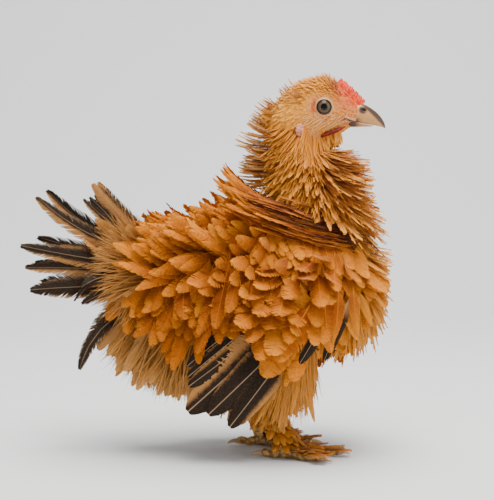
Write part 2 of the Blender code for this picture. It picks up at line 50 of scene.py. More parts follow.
MM = 0.001
MIDDLE_X = -46.06
SKIN_IN = 1.2  # how far the skin lies inside the solids' cores
WING_SKIN_IN = 4.2
WING_LEAN = 0.16
SIDES = {"right": -1, "left": 1}
ANKLE_X = {-1: 0.0, 1: -15.0}  # by side
LEG_Y = 21.0
EYE = np.array((23.3, 7.6, 213.9))  # the left eyeball's centre
COMB_OUT = (0.639, 0.769)  # the x and z of the way out of the forehead at the comb

# Each row is a section of a body: its centre's x, y and z, then half its height and half its width.
TORSO_ROWS = np.array((
    (-92, 0, 118, 5, 6), (-80, 0, 114.5, 14.5, 16), (-60, 0, 107.5, 24.5, 26), (-32, 0, 102, 32, 32),
    (-4, 0, 102, 36, 35), (20, 0, 105, 34, 34), (38, 0, 107.5, 27.5, 28), (50, 0, 108.5, 16.5, 18),
    (56, 0, 108, 6, 7),
), float)
NECK_ROWS = np.array((
    (14, 0, 122, 25, 24), (15, 0, 150, 25, 24), (15, 0, 165, 21, 19), (13, 0, 180, 17, 15),
    (12, 0, 195, 15.5, 13), (12, 0, 207, 13.5, 12),
), float)
HEAD_ROWS = np.array((
    (-9.5, 0, 210, 5, 5), (-6, 0, 205.5, 9.5, 10), (3, 0, 208.0, 15.8, 13.5), (14, 0, 210.8, 19.2, 14.5),
    (25, 0, 213, 19.2, 13.4), (34, 0, 212.2, 15, 10.8), (41, 0, 210.9, 9.9, 7.6), (46, 0, 209.6, 6.5, 5.4),
), float)
THIGH_ROWS = np.array((
    (2, 19, 84, 16, 10.5), (0, 19.5, 70, 16, 10), (-5, 20, 54, 13, 9), (-10, 20.5, 40, 9, 7.5),
    (-11, 21, 30, 6, 5.5),
), float)
WING_ROWS = np.array((
    (42, 31, 108, 7, 2.5), (32, 36, 107, 18, 5), (10, 39.5, 101, 23, 6), (-12, 40, 89, 20, 6),
    (-30, 39, 75, 13, 5), (-38, 38, 68, 6, 2.5),
), float)


def row_at(rows, place):
    """Rows read at places counted in rows, on a Hermite curve through the given ones."""
    place = np.clip(place, 0, len(rows) - 1)
    slope = np.gradient(rows, axis=0)
    i = np.minimum(place.astype(int), len(rows) - 2)
    t = (place - i)[..., None]
    return (
        (2 * t**3 - 3 * t**2 + 1) * rows[i]
        + (t**3 - 2 * t**2 + t) * slope[i]
        + (3 * t**2 - 2 * t**3) * rows[i + 1]
        + (t**3 - t**2) * slope[i + 1]
    )


def section_points(rows, place, turn, upright, side=1, lean=0.0, inwards=0.0):
    """Points of a lofted body: centre plus half height by the cosine and half width by the sine of turn."""
    x, y, z, high, wide = np.moveaxis(row_at(rows, place), -1, 0)
    reach = np.maximum(high - inwards, 0.5) * np.cos(turn)
    across = (y + np.maximum(wide - inwards, 0.5) * np.sin(turn) - lean * reach) * side
    if upright:
        return np.stack((x + 0 * reach, across, z + reach), -1)
    return np.stack((x + reach, across, z + 0 * reach), -1)


def surface(rows, place, turn, upright, side=1, lean=0.0, inwards=0.0):
    """Points of a lofted body and the unit normals out of it, from the cross product of two small steps."""
    step = 0.02
    here, further, behind, round_it = (
        section_points(rows, place + a, turn + b, upright, side, lean, inwards)
        for a, b in ((0, 0), (step, 0), (-step, 0), (0, step))
    )
    normal = np.cross(further - behind, round_it - here)
    centre = row_at(rows, place)[..., :3] * (1, side, 1)
    normal *= np.sign((normal * (here - centre)).sum(-1, keepdims=True))
    return here, normal / np.linalg.norm(normal, axis=-1, keepdims=True)


def rings_grid(last, rings, count):
    """Places from 0 to last on a number of rings, and the turns of each ring's points."""
    return np.meshgrid(np.linspace(0, last, rings), np.linspace(0, 2 * np.pi, count, endpoint=False),
                       indexing="ij")


def grid_faces(rings, count, closed_round=True):
    """Quads between neighbouring rings of points."""
    k = np.arange(count if closed_round else count - 1)
    a = np.arange(rings - 1)[:, None] * count + k
    b = np.arange(rings - 1)[:, None] * count + (k + 1) % count
    return np.stack((a, b, b + count, a + count), -1).reshape(-1, 4)


def mesh_object(name, points, faces):
    """An object from points in millimetres of the bird's frame and an array of equal faces."""
    mesh = bpy.data.meshes.new(name)
    points = (np.asarray(points, float).reshape(-1, 3) - (MIDDLE_X, 0, 0)) * MM
    faces = np.asarray(faces, np.int32)
    mesh.vertices.add(len(points))
    mesh.vertices.foreach_set("co", points.astype(np.float32).ravel())
    mesh.loops.add(faces.size)
    mesh.loops.foreach_set("vertex_index", faces.ravel())
    mesh.polygons.add(len(faces))
    mesh.polygons.foreach_set("loop_start", np.arange(0, faces.size, faces.shape[1], dtype=np.int32))
    mesh.update(calc_edges=True)
    mesh.validate()
    mesh.shade_smooth()
    return linked(name, mesh)


def linked(name, data):
    """A new object in the scene."""
    obj = bpy.data.objects.new(name, data)
    bpy.context.scene.collection.objects.link(obj)
    return obj


def dressed(obj, material, slot, *nodes):
    """Gives a piece its material, lets it ride on the bird, hides the nodes it stands for; slot is not used.
    """
    obj.data.materials.clear()
    obj.data.materials.append(material)
    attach(obj, "root")
    if nodes:
        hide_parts(*nodes)


class Value:
    """A node's output, which can be added to, subtracted from and multiplied like a number."""

    def __init__(self, shade, socket):
        self.shade, self.socket = shade, socket

    def __add__(self, other):
        return self.shade.math("ADD", self, other)

    def __sub__(self, other):
        return self.shade.math("SUBTRACT", self, other)

    def __mul__(self, other):
        return self.shade.math("MULTIPLY", self, other)


class Shade:
    """A Principled material whose nodes are added by short calls."""

    def __init__(self, name, roughness, **settings):
        self.material = bpy.data.materials.new(name)
        self.material.use_nodes = True
        self.tree = self.material.node_tree
        self.shader = self.tree.nodes["Principled BSDF"]
        for word, value in {"Roughness": roughness, **settings}.items():
            self.shader.inputs[word.replace("_", " ")].default_value = value

    def put(self, socket, value):
        if isinstance(value, Value):
            self.tree.links.new(value.socket, socket)
        elif isinstance(value, tuple) and socket.type == "RGBA":
            socket.default_value = (*value, 1)
        else:
            socket.default_value = value

    def node(self, kind, inputs, output=0, **settings):
        """An output of a new node whose inputs take the given values, by their numbers or names."""
        node = self.tree.nodes.new(kind)
        for word, value in settings.items():
            setattr(node, word, value)
        for socket, value in inputs.items():
            self.put(node.inputs[socket], value)
        return Value(self, node.outputs[output])

    def math(self, operation, *values):
        return self.node("ShaderNodeMath", dict(enumerate(values)), operation=operation)

    def mix(self, share, first, second):
        """The first colour where share is 0 and the second where it is 1."""
        return self.node("ShaderNodeMix", {0: share, 6: first, 7: second}, 2, data_type="RGBA")

    def ease(self, value, start, end, low=0.0, high=1.0):
        """value carried smoothly from low at start to high at end."""
        return self.node("ShaderNodeMapRange", dict(enumerate((value, start, end, low, high))),
                         interpolation_type="SMOOTHSTEP")

    def place(self):
        return self.node("ShaderNodeTexCoord", {}, "Object")

    def split(self, vector):
        parts = self.node("ShaderNodeSeparateXYZ", {0: vector}).socket.node.outputs
        return [Value(self, socket) for socket in parts]

    def away(self, middle_x, middle_z):
        """How far a point lies, seen from the side, from the place given in the bird's frame; in metres."""
        x, _, z = self.split(self.place())
        dx, dz = x - (middle_x - MIDDLE_X) * MM, z - middle_z * MM
        return self.math("SQRT", dx * dx + dz * dz)

    def stretched(self, vector, scale):
        return self.node("ShaderNodeMapping", {"Vector": vector, "Scale": scale})

    def noise(self, vector, scale, detail=3.0, roughness=0.55):
        inputs = {"Vector": vector, "Scale": scale, "Detail": detail, "Roughness": roughness}
        return self.node("ShaderNodeTexNoise", inputs, "Fac")

    def cells(self, vector, scale):
        return self.node("ShaderNodeTexVoronoi", {"Vector": vector, "Scale": scale}, "Distance")

    def bump(self, height, strength, distance):
        inputs = {"Strength": strength, "Distance": distance, "Height": height}
        self.put(self.shader.inputs["Normal"], self.node("ShaderNodeBump", inputs))

    def colour(self, value):
        self.put(self.shader.inputs["Base Color"], value)
        return self.material


def skin_material():
    """Buff skin, pink round the eye and on the lores, red beside the comb; painted shade below the head."""
    shade = Shade("skin", 0.75, Subsurface_Weight=0.1, Subsurface_Scale=0.001, Specular_IOR_Level=0.12)
    place = shade.place()
    x, _, z = shade.split(place)
    mottle = shade.noise(place, 350)
    buff = shade.mix(mottle, (0.50, 0.17, 0.03), (0.66, 0.30, 0.09))
    pink = shade.mix(shade.ease(mottle, 0.35, 0.65), (0.44, 0.075, 0.022), (0.62, 0.24, 0.09))
    red = shade.mix(shade.ease(mottle, 0.4, 0.6), (0.55, 0.04, 0.006), (0.66, 0.16, 0.035))
    # under: near black russet below the head, painted shade for where the skin shows between the feathers
    under = shade.mix(mottle, (0.06, 0.012, 0.001), (0.14, 0.034, 0.003))
    round_eye = shade.ease(shade.away(EYE[0], EYE[2]), 0.0075, 0.0105, 1.0, 0.0)
    lores = shade.ease(x, 0.073, 0.078) * shade.ease(z, 0.201, 0.206)
    face = shade.mix(shade.math("MAXIMUM", round_eye, lores), buff, pink)
    over = x * COMB_OUT[0] + z * COMB_OUT[1]
    comb_line = (COMB_OUT[0] * (47.6 - MIDDLE_X) + COMB_OUT[1] * 215.6) * MM
    beside = shade.ease(over, comb_line - 0.0062, comb_line - 0.0034) * shade.ease(x, 0.076, 0.080)
    shade.bump(shade.noise(place, 1500), 0.4, 0.0003)
    return shade.colour(shade.mix(shade.ease(z, 0.190, 0.200), under, shade.mix(beside, face, red)))


def skin_piece():
    """All lofts in one mesh, remeshed to one surface, smoothed, with an orbit pressed in behind each eye."""
    rings, count = 60, 48
    lofts = [(rows, upright, 1, 0.0, 0.0, SKIN_IN) for rows, upright in
             ((TORSO_ROWS, True), (NECK_ROWS, False), (HEAD_ROWS, True))]
    for side in SIDES.values():
        lofts.append((THIGH_ROWS, False, side, 0.0, ANKLE_X[side], SKIN_IN))
        lofts.append((WING_ROWS, True, side, WING_LEAN, 0.0, WING_SKIN_IN))
    points, faces = [], []
    k = np.arange(count)
    for rows, upright, side, lean, shift, inwards in lofts:
        found = section_points(rows, *rings_grid(len(rows) - 1, rings, count), upright, side, lean, inwards)
        found += (shift, 0, 0)
        start = len(points) * (rings * count + 2)
        faces += (grid_faces(rings, count) + start).tolist()
        for ring, end in ((0, 0), (rings - 1, 1)):
            base = start + ring * count
            middle = np.full(count, start + rings * count + end)
            faces += np.stack((base + k, base + (k + 1) % count, middle), -1).tolist()
        points.append(np.vstack((found.reshape(-1, 3), found[0].mean(0), found[-1].mean(0))))
    mesh = bpy.data.meshes.new("skin")
    mesh.from_pydata((np.vstack(points) - (MIDDLE_X, 0, 0)) * MM, [], faces)
    skin = linked("skin", mesh)
    change = skin.modifiers.new("one_surface", "REMESH")
    change.mode = "VOXEL"
    change.voxel_size = 0.0012
    skin.modifiers.new("ease", "SMOOTH").iterations = 8
    bpy.context.view_layer.update()
    graph = bpy.context.evaluated_depsgraph_get()
    skin.data = bpy.data.meshes.new_from_object(skin.evaluated_get(graph))
    skin.modifiers.clear()
    co = np.empty(len(skin.data.vertices) * 3, np.float32)
    skin.data.vertices.foreach_get("co", co)
    co = co.reshape(-1, 3) / MM + (MIDDLE_X, 0, 0)
    away = np.hypot(co[:, 0] - EYE[0], co[:, 2] - EYE[2])
    orbit = np.clip((6.4 - away) / 1.8, 0, 1)
    near = (co[:, 2] > 200) & (np.abs(co[:, 1]) > 6)
    pressed = np.where(near, orbit * np.maximum(np.abs(co[:, 1]) - 9.5, 0), 0)
    co[:, 1] -= np.sign(co[:, 1]) * pressed
    skin.data.vertices.foreach_set("co", ((co - (MIDDLE_X, 0, 0)) * MM).astype(np.float32).ravel())
    skin.data.update()
    skin.data.shade_smooth()
    dressed(skin, skin_material(), "buff_feather", "torso", "neck", "head", "thigh_left", "thigh_right")


skin_piece()


# Body coat. Each contour feather is a shaft with soft barbs on both sides that hook into a vane and
# fray at its edge; the frizzle gene curls them out from the body. They are built as arrays of barb
# strips round a bent shaft, in tiers over the torso, longer and drooping towards the flanks and vent.

PATCH = 0.003  # how wide a feather's patch is on the bake map
FINE = 16  # steps in which a shaft's curve is summed
SHAFT_STATIONS = 6  # how many of them the drawn shaft has
BAKE_CORNER, BAKE_SPAN = 0.02, 0.96  # where a loft's unwrap starts on the bake map, and its width


def xyz(*parts):
    """An array of points or directions from its columns, each an array or one number."""
    return np.stack(np.broadcast_arrays(*parts), -1).astype(float)


def unit(vector):
    """The same directions at length one."""
    return vector / np.maximum(np.linalg.norm(vector, axis=-1, keepdims=True), 1e-9)


def smooth(value, start, end):
    """0 before start and 1 after end, with a smooth change between them."""
    t = np.clip((value - start) / (end - start), 0, 1)
    return t * t * (3 - 2 * t)


def tier_places(rows, upright, first, last, spacing, chance, turns=(0.0, 2 * np.pi)):
    """Places and turns of roots in tiers one spacing apart, each tier set half a step from the last."""
    fine = np.linspace(first, last, 240)
    line = section_points(rows, fine, np.full(240, np.pi / 2), upright)
    run = np.concatenate(([0], np.cumsum(np.linalg.norm(np.diff(line, axis=0), axis=1))))
    levels = np.interp(np.arange(spacing / 2, run[-1], spacing * 0.87), run, fine)
    places, found = [], []
    for i, level in enumerate(levels):
        high, wide = row_at(rows, np.array([level]))[0, 3:]
        span = turns[1] - turns[0]
        count = max(int(span * math.sqrt((high * high + wide * wide) / 2) / spacing), 3)
        k = (np.arange(count) + 0.5 * (i % 2)) / count
        found.append(turns[0] + span * k + chance.normal(0, 0.12 * span / count, count))
        places.append(level + chance.normal(0, 0.1 * (levels[1] - levels[0]), count))
    return np.concatenate(places), np.concatenate(found)


def tiers(rows, upright, first, last, spacing, chance, side=1, lean=0.0, inwards=SKIN_IN, **turns):
    """Roots in tiers on a loft with the normals there, their turns and their places on the bake map."""
    place, turn = tier_places(rows, upright, first, last, spacing, chance, **turns)
    root, normal = surface(rows, place, turn, upright, side, lean, inwards)
    spot = BAKE_CORNER + BAKE_SPAN * xyz(place / (len(rows) - 1), (turn / (2 * np.pi)) % 1)
    return root, normal, turn, spot


def laid(normal, lie, lift):
    """Directions along lie pressed onto the surface and lifted off it by some degrees, and their normals."""
    flat = unit(lie - normal * (lie * normal).sum(-1, keepdims=True))
    angle = np.radians(lift)[:, None]
    return flat * np.cos(angle) + normal * np.sin(angle), normal * np.cos(angle) - flat * np.sin(angle)


def strewn(chance, normal, lie, spread, lift, wobble):
    """laid() with the lie and the lift each a little off, by normal draws."""
    lie = xyz(*lie) + chance.normal(0, spread, normal.shape)
    return laid(normal, lie, lift + chance.normal(0, wobble, len(normal)))


def vane_width(t, point):
    """Share of the full half width at t: narrow at the root, then wide, closing as an arc or to a point."""
    base = 0.3 + 0.7 * smooth(t, 0.0, 0.38)
    arc = np.sqrt(np.clip(1 - (np.clip(t - 0.68, 0, 1) / 0.325) ** 2, 0, 1))
    taper = np.clip((1.02 - t) / 0.66, 0, 1) ** 0.8
    return base * (arc * (1 - point) + taper * point)


def shaft_paths(tufts):
    """Points along every shaft, the way its vane faces there and the way across it.

    A shaft starts along its direction and turns towards its face by curl, to a side by bend and
    about itself by twist, each growing as the 1.3rd power of the way along.
    """
    grown = np.linspace(0, 1, FINE + 1)[:, None] ** 1.3
    turns = (np.radians(tufts[word])[:, None, None] * grown for word in ("curl", "bend", "twist"))
    pairs = ((np.cos(turn), np.sin(turn)) for turn in turns)
    (cos_curl, sin_curl), (cos_bend, sin_bend), (cos_twist, sin_twist) = pairs
    along = unit(tufts["along"])[:, None]
    out = unit(tufts["out"] - along[:, 0] * (tufts["out"] * along[:, 0]).sum(-1, keepdims=True))[:, None]
    side = np.cross(along, out) * tufts["hand"][:, None, None]
    ahead = along * cos_curl + out * sin_curl
    facing = out * cos_curl - along * sin_curl
    ahead, across = ahead * cos_bend + side * sin_bend, side * cos_bend - ahead * sin_bend
    facing, across = facing * cos_twist + across * sin_twist, across * cos_twist - facing * sin_twist
    steps = (ahead[:, 1:] + ahead[:, :-1]) / 2 * (tufts["length"] / FINE)[:, None, None]
    path = np.concatenate((np.zeros((len(steps), 1, 3)), np.cumsum(steps, 1)), 1) + tufts["root"][:, None]
    return path, facing, across


def strip_faces(rows):
    """Quads of a ribbon of three points a row."""
    k = np.arange(rows - 1)[:, None] * 3 + np.arange(2)
    return np.stack((k, k + 1, k + 4, k + 3), -1).reshape(-1, 4)


def tuft_mesh(name, points, faces, vane, tufts):
    """One mesh of many like tufts, with a bake map, a map of each vane and each tuft's tone."""
    count, each = points.shape[:2]
    faces = (faces[None] + np.arange(count)[:, None, None] * each).reshape(-1, faces.shape[1])
    obj = mesh_object(name, points, faces)
    corner = np.empty(len(obj.data.loops), np.int32)
    obj.data.loops.foreach_get("vertex_index", corner)
    vane = np.broadcast_to(vane, (count, each, 2))
    bake = tufts["spot"][:, None] + (vane - 0.5) * PATCH
    for word, values in (("OFBake", bake), ("Vane", vane)):
        layer = obj.data.uv_layers.new(name=word)
        layer.uv.foreach_set("vector", values.reshape(-1, 2)[corner].astype(np.float32).ravel())
    obj.data.uv_layers["OFBake"].active = True
    obj.data.uv_layers["OFBake"].active_render = True
    tone = obj.data.attributes.new("tone", "FLOAT", "POINT")
    tone.data.foreach_set("value", np.repeat(tufts["tone"], each).astype(np.float32))
    return obj


def feathers(name, tufts, barbs, seed, sweep=0.2, shaft=0.5, fray=0.3, steps=(0.0, 0.6, 1.0)):
    """One mesh of many feathers.

    A barb leaves the shaft at t and reaches the vane's edge at t + sweep (1 - t)^0.8, as a strip
    that narrows towards its end, so that a high fray opens the edge into a fringe.
    """
    chance = np.random.default_rng(seed)
    path, facing, across = shaft_paths(tufts)
    count, u = len(path), np.array(steps)
    shape = (2, barbs, len(u), 2)
    ends = np.array((-1.0, 1.0))
    root_t = 0.04 + 0.945 * np.linspace(0, 1, barbs) ** 0.94
    end_t = root_t + sweep * (1 - root_t) ** 0.8
    reach = root_t[:, None] + (end_t - root_t)[:, None] * u**1.2
    half = (0.55 / barbs * (1.25 - 0.75 * fray * u**2))[:, None] * ends

    def flat(values, *front):
        return np.broadcast_to(values, front + shape).reshape(*front, -1)

    t = flat(np.clip(reach[..., None] + half, 0, 1))
    sign = flat(ends[:, None, None, None] * u[:, None])
    edge = flat(np.clip(end_t[:, None, None] + half, 0, 1))
    weight = np.zeros((len(t), FINE + 1))
    low = np.minimum((t * FINE).astype(int), FINE - 1)
    weight[np.arange(len(t)), low] = 1 - (t * FINE - low)
    weight[np.arange(len(t)), low + 1] = t * FINE - low
    at, over, wide = (np.einsum("kf,nfc->nkc", weight, line) for line in (path, facing, across))
    loose = flat(chance.normal(0, 1, (count, 2, barbs, 1, 1)), count)
    stray = flat(1 - fray * np.abs(chance.normal(0, 0.09, (count, 2, barbs, 1, 1))), count)
    half_width = tufts["width"][:, None] / 2
    lateral = sign * vane_width(edge, tufts["point"][:, None]) * stray * half_width
    drop = -tufts["cup"][:, None] * sign**2 * half_width
    drop = drop + loose * np.abs(sign) * half_width * (0.015 + 0.045 * fray)
    barb_points = at + wide * lateral[..., None] + over * drop[..., None]
    k = np.arange(2 * barbs)[:, None] * 2 * len(u) + np.arange(len(u) - 1) * 2
    strips = np.stack((k, k + 1, k + 3, k + 2), -1).reshape(-1, 4)

    stations = np.linspace(0, FINE - 1, SHAFT_STATIONS).astype(int)
    share = np.linspace(0, 1, FINE + 1)[stations]
    thick = shaft * (1 - 0.85 * share)[None, :, None]
    over, side = facing[:, stations], across[:, stations] * thick / 2
    middle = path[:, stations] + over * 0.12
    shafts = np.stack((middle - side, middle + over * thick * 0.4, middle + side), 2).reshape(count, -1, 3)
    faces = np.vstack((strips, strip_faces(SHAFT_STATIONS) + barb_points.shape[1]))
    vane = np.vstack((xyz(0.5 + 0.5 * sign * vane_width(edge, 0.0), t), xyz(0.5, np.repeat(share, 3))))
    return tuft_mesh(name, np.concatenate((barb_points, shafts), 1), faces, vane, tufts)


def locks(name, tufts, stops=(0, 4, 8, 11, 14, 16)):
    """One mesh of many fine locks of down: blades with a low ridge, as wide as 1 - t^2 of their width."""
    path, facing, across = shaft_paths(tufts)
    stops = np.array(stops)
    t = stops / FINE
    half = (tufts["width"][:, None] / 2 * (1.02 - t**2))[..., None]
    at, over, side = path[:, stops], facing[:, stops] * half, across[:, stops] * half
    points = np.stack((at - side, at + over * 0.5, at + side), 2).reshape(len(path), -1, 3)
    s = 0.5 + 0.3 * np.array((-1.0, 0.0, 1.0)) * (1 - t[:, None] ** 2)
    return tuft_mesh(name, points, strip_faces(len(stops)), xyz(s, t[:, None]).reshape(-1, 2), tufts)


def coat(name, material, tufts, barbs=0, seed=0, slot="buff_feather", nodes=(), **look):
    """A dressed piece of the coat: feathers, or locks where no barbs are given."""
    made = feathers(name, tufts, barbs, seed, **look) if barbs else locks(name, tufts, **look)
    dressed(made, material, slot, *nodes)


def tuft_table(chance, root, along, out, spot, **values):
    """The arrays that feathers() reads; columns and values are given as arrays or as one number for all."""
    root = root if isinstance(root, np.ndarray) else xyz(*root)
    count = len(root)
    table = {"root": root}
    for word, found in (("along", along), ("out", out), ("spot", spot)):
        found = found if isinstance(found, np.ndarray) else xyz(*found)
        table[word] = np.broadcast_to(found, (count, found.shape[-1]))
    usual = {"curl": 0.0, "bend": 0.0, "twist": 0.0, "point": 0.0, "cup": 0.2, "hand": 1.0}
    usual["tone"] = chance.uniform(0, 1, count)
    for word, value in (usual | values).items():
        table[word] = np.broadcast_to(np.asarray(value, float), (count,)).copy()
    spread = {"length": (0.8, 1.15), "width": (0.8, 1.12), "curl": (0.5, 1.4), "cup": (0.5, 1.5)}
    for word, (least, most) in spread.items():
        table[word] *= chance.uniform(least, most, count)
    table["bend"] += chance.normal(0, 9, count)
    table["twist"] += chance.normal(0, 11, count)
    return table


def mirrored(table):
    """The same tufts on the bird's other side."""
    turned = {word: table[word] * (1.0, -1.0, 1.0) for word in ("root", "along", "out")}
    return table | turned | {"hand": -table["hand"], "spot": 1 - table["spot"]}


def chosen(table, keep):
    """The tufts where keep is true."""
    return {word: value[keep] for word, value in table.items()}


def joined(*tables):
    """The tufts of several tables in one."""
    return {word: np.concatenate([table[word] for table in tables]) for word in tables[0]}


def both_sides(made, seed, *settings):
    """The tufts of the right side and, from the next seed, mirrored ones for the left."""
    return joined(made(seed, *settings), mirrored(made(seed + 1, *settings)))


# The bird's outline in the photo's view: heights, and how far forward or back the tips reach there.
FRONT_LINE = (40, 66, 73, 93, 107, 120, 132, 144, 151, 163, 169, 176, 182, 188, 191, 193), (
    50, 58, 61, 63, 64, 66, 67, 61, 57, 54, 55, 53, 51, 44, 34, 30)
NAPE_LINE = (160, 166, 173, 180, 187, 194, 200, 206, 212, 219, 225, 233), (
    -17, -15, -16, -16, -15, -17, -19, -18, -15, -10, -4, 12)


def trimmed(table, line, way=1):
    """The table with feathers shortened where their tips would pass the outline, forward or back."""
    turn = np.radians(table["curl"])[:, None] * 0.43
    run = (table["along"] * np.cos(turn) + table["out"] * np.sin(turn)) * table["length"][:, None]
    tip = table["root"] + run
    reach = way * (tip[:, 0] - table["root"][:, 0])
    free = way * (np.interp(tip[:, 2], *line) - table["root"][:, 0])
    share = np.where(free < reach, np.clip(free / np.maximum(reach, 0.1), 0.35, 1), 1)
    return table | {"length": table["length"] * share}


def vane_inputs(shade):
    """The vane's map, its places across and along it, the way from its middle and the tuft's tone."""
    uv = shade.node("ShaderNodeUVMap", {}, uv_map="Vane")
    s, t, _ = shade.split(uv)
    tone = shade.node("ShaderNodeAttribute", {}, "Fac", attribute_name="tone")
    return uv, s, t, shade.math("ABSOLUTE", s - 0.5), tone


def buff_material(name, deep, mid, light, shaft=(0.50, 0.22, 0.07), blush=None):
    """Buff feather: painted shade at the root, lighter to the rim and on the breast, with barb streaks."""
    shade = Shade(name, 0.8, Specular_IOR_Level=0.1, Sheen_Weight=0.12, Sheen_Roughness=0.4)
    uv, _, t, away, tone = vane_inputs(shade)
    inputs = {0: shade.stretched(uv, (2, 24, 1)), 1: tone * 37.0}
    streak = shade.noise(shade.node("ShaderNodeVectorMath", inputs, operation="ADD"), 2.0, 5.0, 0.65)
    patchy = shade.noise(shade.place(), 28, 2.0)
    # deep towards the root: painted shade where the feathers overlap
    body = shade.mix(shade.ease(t, 0.25, 0.92), deep, mid)
    for share, colour in (
        (shade.ease(t, 0.7, 1.0) * 0.4, light),
        (shade.ease(away, 0.36, 0.5) * 0.3, light),
        (shade.ease(streak, 0.45, 0.72, 0.0, 0.65), deep),
        (shade.ease(streak, 0.5, 0.3, 0.0, 0.25), light),
        (shade.ease(tone, 0.45, 0.0, 0.0, 0.3), deep),
        (shade.ease(tone, 0.6, 1.0, 0.0, 0.35), light),
        (shade.ease(patchy, 0.4, 0.7, 0.0, 0.35), mid),
        (shade.ease(shade.split(shade.place())[0], 0.070, 0.108, 0.0, 0.4), light),
    ):
        body = shade.mix(share, body, colour)
    if blush:
        near = shade.away(*BLUSH_MIDDLE)
        body = shade.mix(shade.ease(near, 0.006, 0.015, 0.85, 0.0), body, blush)
    return shade.colour(shade.mix(shade.ease(away, 0.012, 0.035, 0.85, 0.0), body, shaft))


BLUSH_MIDDLE = (41.0, 221.5)
BODY, DRAPE, SOFT, SMOKE, NAPE = (buff_material(*look) for look in (
    ("body_feather", (0.23, 0.036, 0.001), (0.60, 0.165, 0.004), (0.79, 0.305, 0.027), (0.54, 0.17, 0.01)),
    # drape_feather: a darker copy of the body feather, painted shade on the feathers that hang down the flank
    ("drape_feather", (0.15, 0.022, 0.0), (0.38, 0.090, 0.001), (0.62, 0.21, 0.012), (0.42, 0.12, 0.005)),
    ("soft_feather", (0.30, 0.080, 0.004), (0.52, 0.19, 0.02), (0.70, 0.34, 0.08)),
    ("smoke_feather", (0.17, 0.050, 0.007), (0.50, 0.205, 0.038), (0.72, 0.39, 0.13), (0.46, 0.22, 0.07)),
    ("hackle_feather", (0.44, 0.13, 0.008), (0.66, 0.25, 0.026), (0.80, 0.36, 0.06), (0.40, 0.12, 0.01)),
))


def torso_coat():
    """Tiers all over the torso; the lie, lift, curl and length change smoothly from breast to vent."""
    chance = np.random.default_rng(21)
    root, normal, _, spot = tiers(TORSO_ROWS, True, 0.5, 7.7, 5.7, chance)
    x, y, z = root.T
    back, belly = smooth(normal[:, 2], 0.25, 0.75), smooth(-normal[:, 2], 0.35, 0.8)
    rump, breast, front = smooth(-x, 34, 62), smooth(x, 20, 42), smooth(x, 36, 50)
    flank = (1 - back) * (1 - breast)
    lie = (-0.32 - 0.7 * back - 0.3 * rump + 0.36 * breast, 0, -1.0 + 1.0 * back * (1 - 0.2 * rump))
    lift = 19 + (10 + 24 * smooth(x, -55, -8)) * back - 5 * front + 4 * belly - 3 * rump * (1 - back)
    along, out = strewn(chance, normal, lie, 0.22, lift, 5)
    aside = np.cross(along, out)
    aside *= np.sign(aside[:, 1:2] * np.where(np.abs(y) < 4, chance.choice((-1, 1), len(x)), y)[:, None])
    out = unit(out + aside * (1.1 * back)[:, None])
    length = 25 + 9 * back + 6 * rump * (1 - back) + 3 * flank + 17 * front
    point = 0.15 + 0.7 * back + 0.4 * rump + 0.6 * front + chance.normal(0, 0.15, len(x))
    table = tuft_table(
        chance, root - normal, along, out, spot, length=length, width=12.6 - 1.2 * back - 6.5 * front,
        cup=0.11, point=np.clip(point, 0, 1),
        curl=28 - 18 * back - 20 * rump * (1 - back) - 8 * belly - 8 * breast - 10 * front,
    )
    roof = 143 - np.where(x > 9, 0.25, 0.6) * (x - 9) - 0.3 * np.abs(y)
    wing_top = np.interp(x, (-38, -30, -12, 10, 32, 42), (72, 86, 107, 122, 121, 112))
    winged = (np.abs(y) > 22) & (x > -34) & (x < 38) & (z > 72) & (z < wing_top - 8)
    legged = (z < 82) & (np.abs(y) > 10) & (x > -14) & (x < 16)
    keep = (z < roof - 1) & ~winged & ~legged & ~((back > 0.5) & (x > 0)) & (front < 0.55)
    coat("coat_torso", BODY, trimmed(chosen(table, keep), FRONT_LINE), 30, 22, fray=0.8)


def breast_fringe():
    """Long narrow feathers in tiers that hang from the front of the breast and end in loose points."""
    chance = np.random.default_rng(26)
    root, normal, _, spot = tiers(TORSO_ROWS, True, 4.9, 7.9, 3.1, chance)
    x, y, z = root.T
    along, out = strewn(chance, normal, (0.1 + 0 * x, 0, -1), 0.13, 12 + 8 * smooth(z, 95, 125), 5)
    shape = {"width": 5.2, "curl": 4.0, "point": 0.75, "cup": 0.15}
    table = tuft_table(chance, root - normal, along, out, spot, length=24 + 12 * smooth(x, 30, 44), **shape)
    keep = (z > 78) & (z < 140 - 0.5 * np.abs(y)) & (smooth(x, 36, 50) > 0.3)
    keep |= (x > 16) & (z > 68) & (z < 90) & (np.abs(y) < 26)
    count = 40
    y, z = chance.uniform(-8, 8, count), chance.uniform(106, 124, count)
    along = unit(xyz(0.16, 0.02 * y + chance.normal(0, 0.08, count), -1))
    tip = tuft_table(chance, (56 - 0.024 * (z - 108) ** 2 - 0.03 * y**2, y, z), along, (1.0, 0.0, 0.1),
                     (0.97, 0.3 + 0.4 * (z - 106) / 18), length=28.0, **shape)
    table = trimmed(joined(chosen(table, keep), tip), FRONT_LINE)
    coat("breast_fringe", NAPE, table, 18, 27, sweep=0.26, fray=0.9)


def saddle(seed):
    """Long pointed feathers that stand up and back off the right half of the back, faces turned aside."""
    chance = np.random.default_rng(seed)
    count = 46
    share = chance.uniform(0, 1, count)
    x = -8 - 66 * share
    y = -chance.uniform(1, 26, count)
    z = 139 - 17 * share - 0.016 * y**2
    rise = np.radians(34 - 16 * share + chance.normal(0, 5, count))
    along = (-np.cos(rise), -0.12 + 0.012 * y, np.sin(rise))
    out = (0.3, -1.0 + chance.normal(0, 0.3, count), 0.8)
    return tuft_table(chance, (x, y, z), along, out, (0.1 + 0.8 * share, 0.6 - y / 100),
                      length=40 - 5 * share, width=14.0, curl=6.0, point=0.7, cup=0.12)


torso_coat()
breast_fringe()
coat("saddle_lances", BODY, both_sides(saddle, 23), 40, 25, sweep=0.24, fray=0.9)


# Neck coat. The hackle is long and narrow: it stands straight out behind, spreads to a ruff with
# pointed tips in front, and ends over a dark gap above the shoulders.

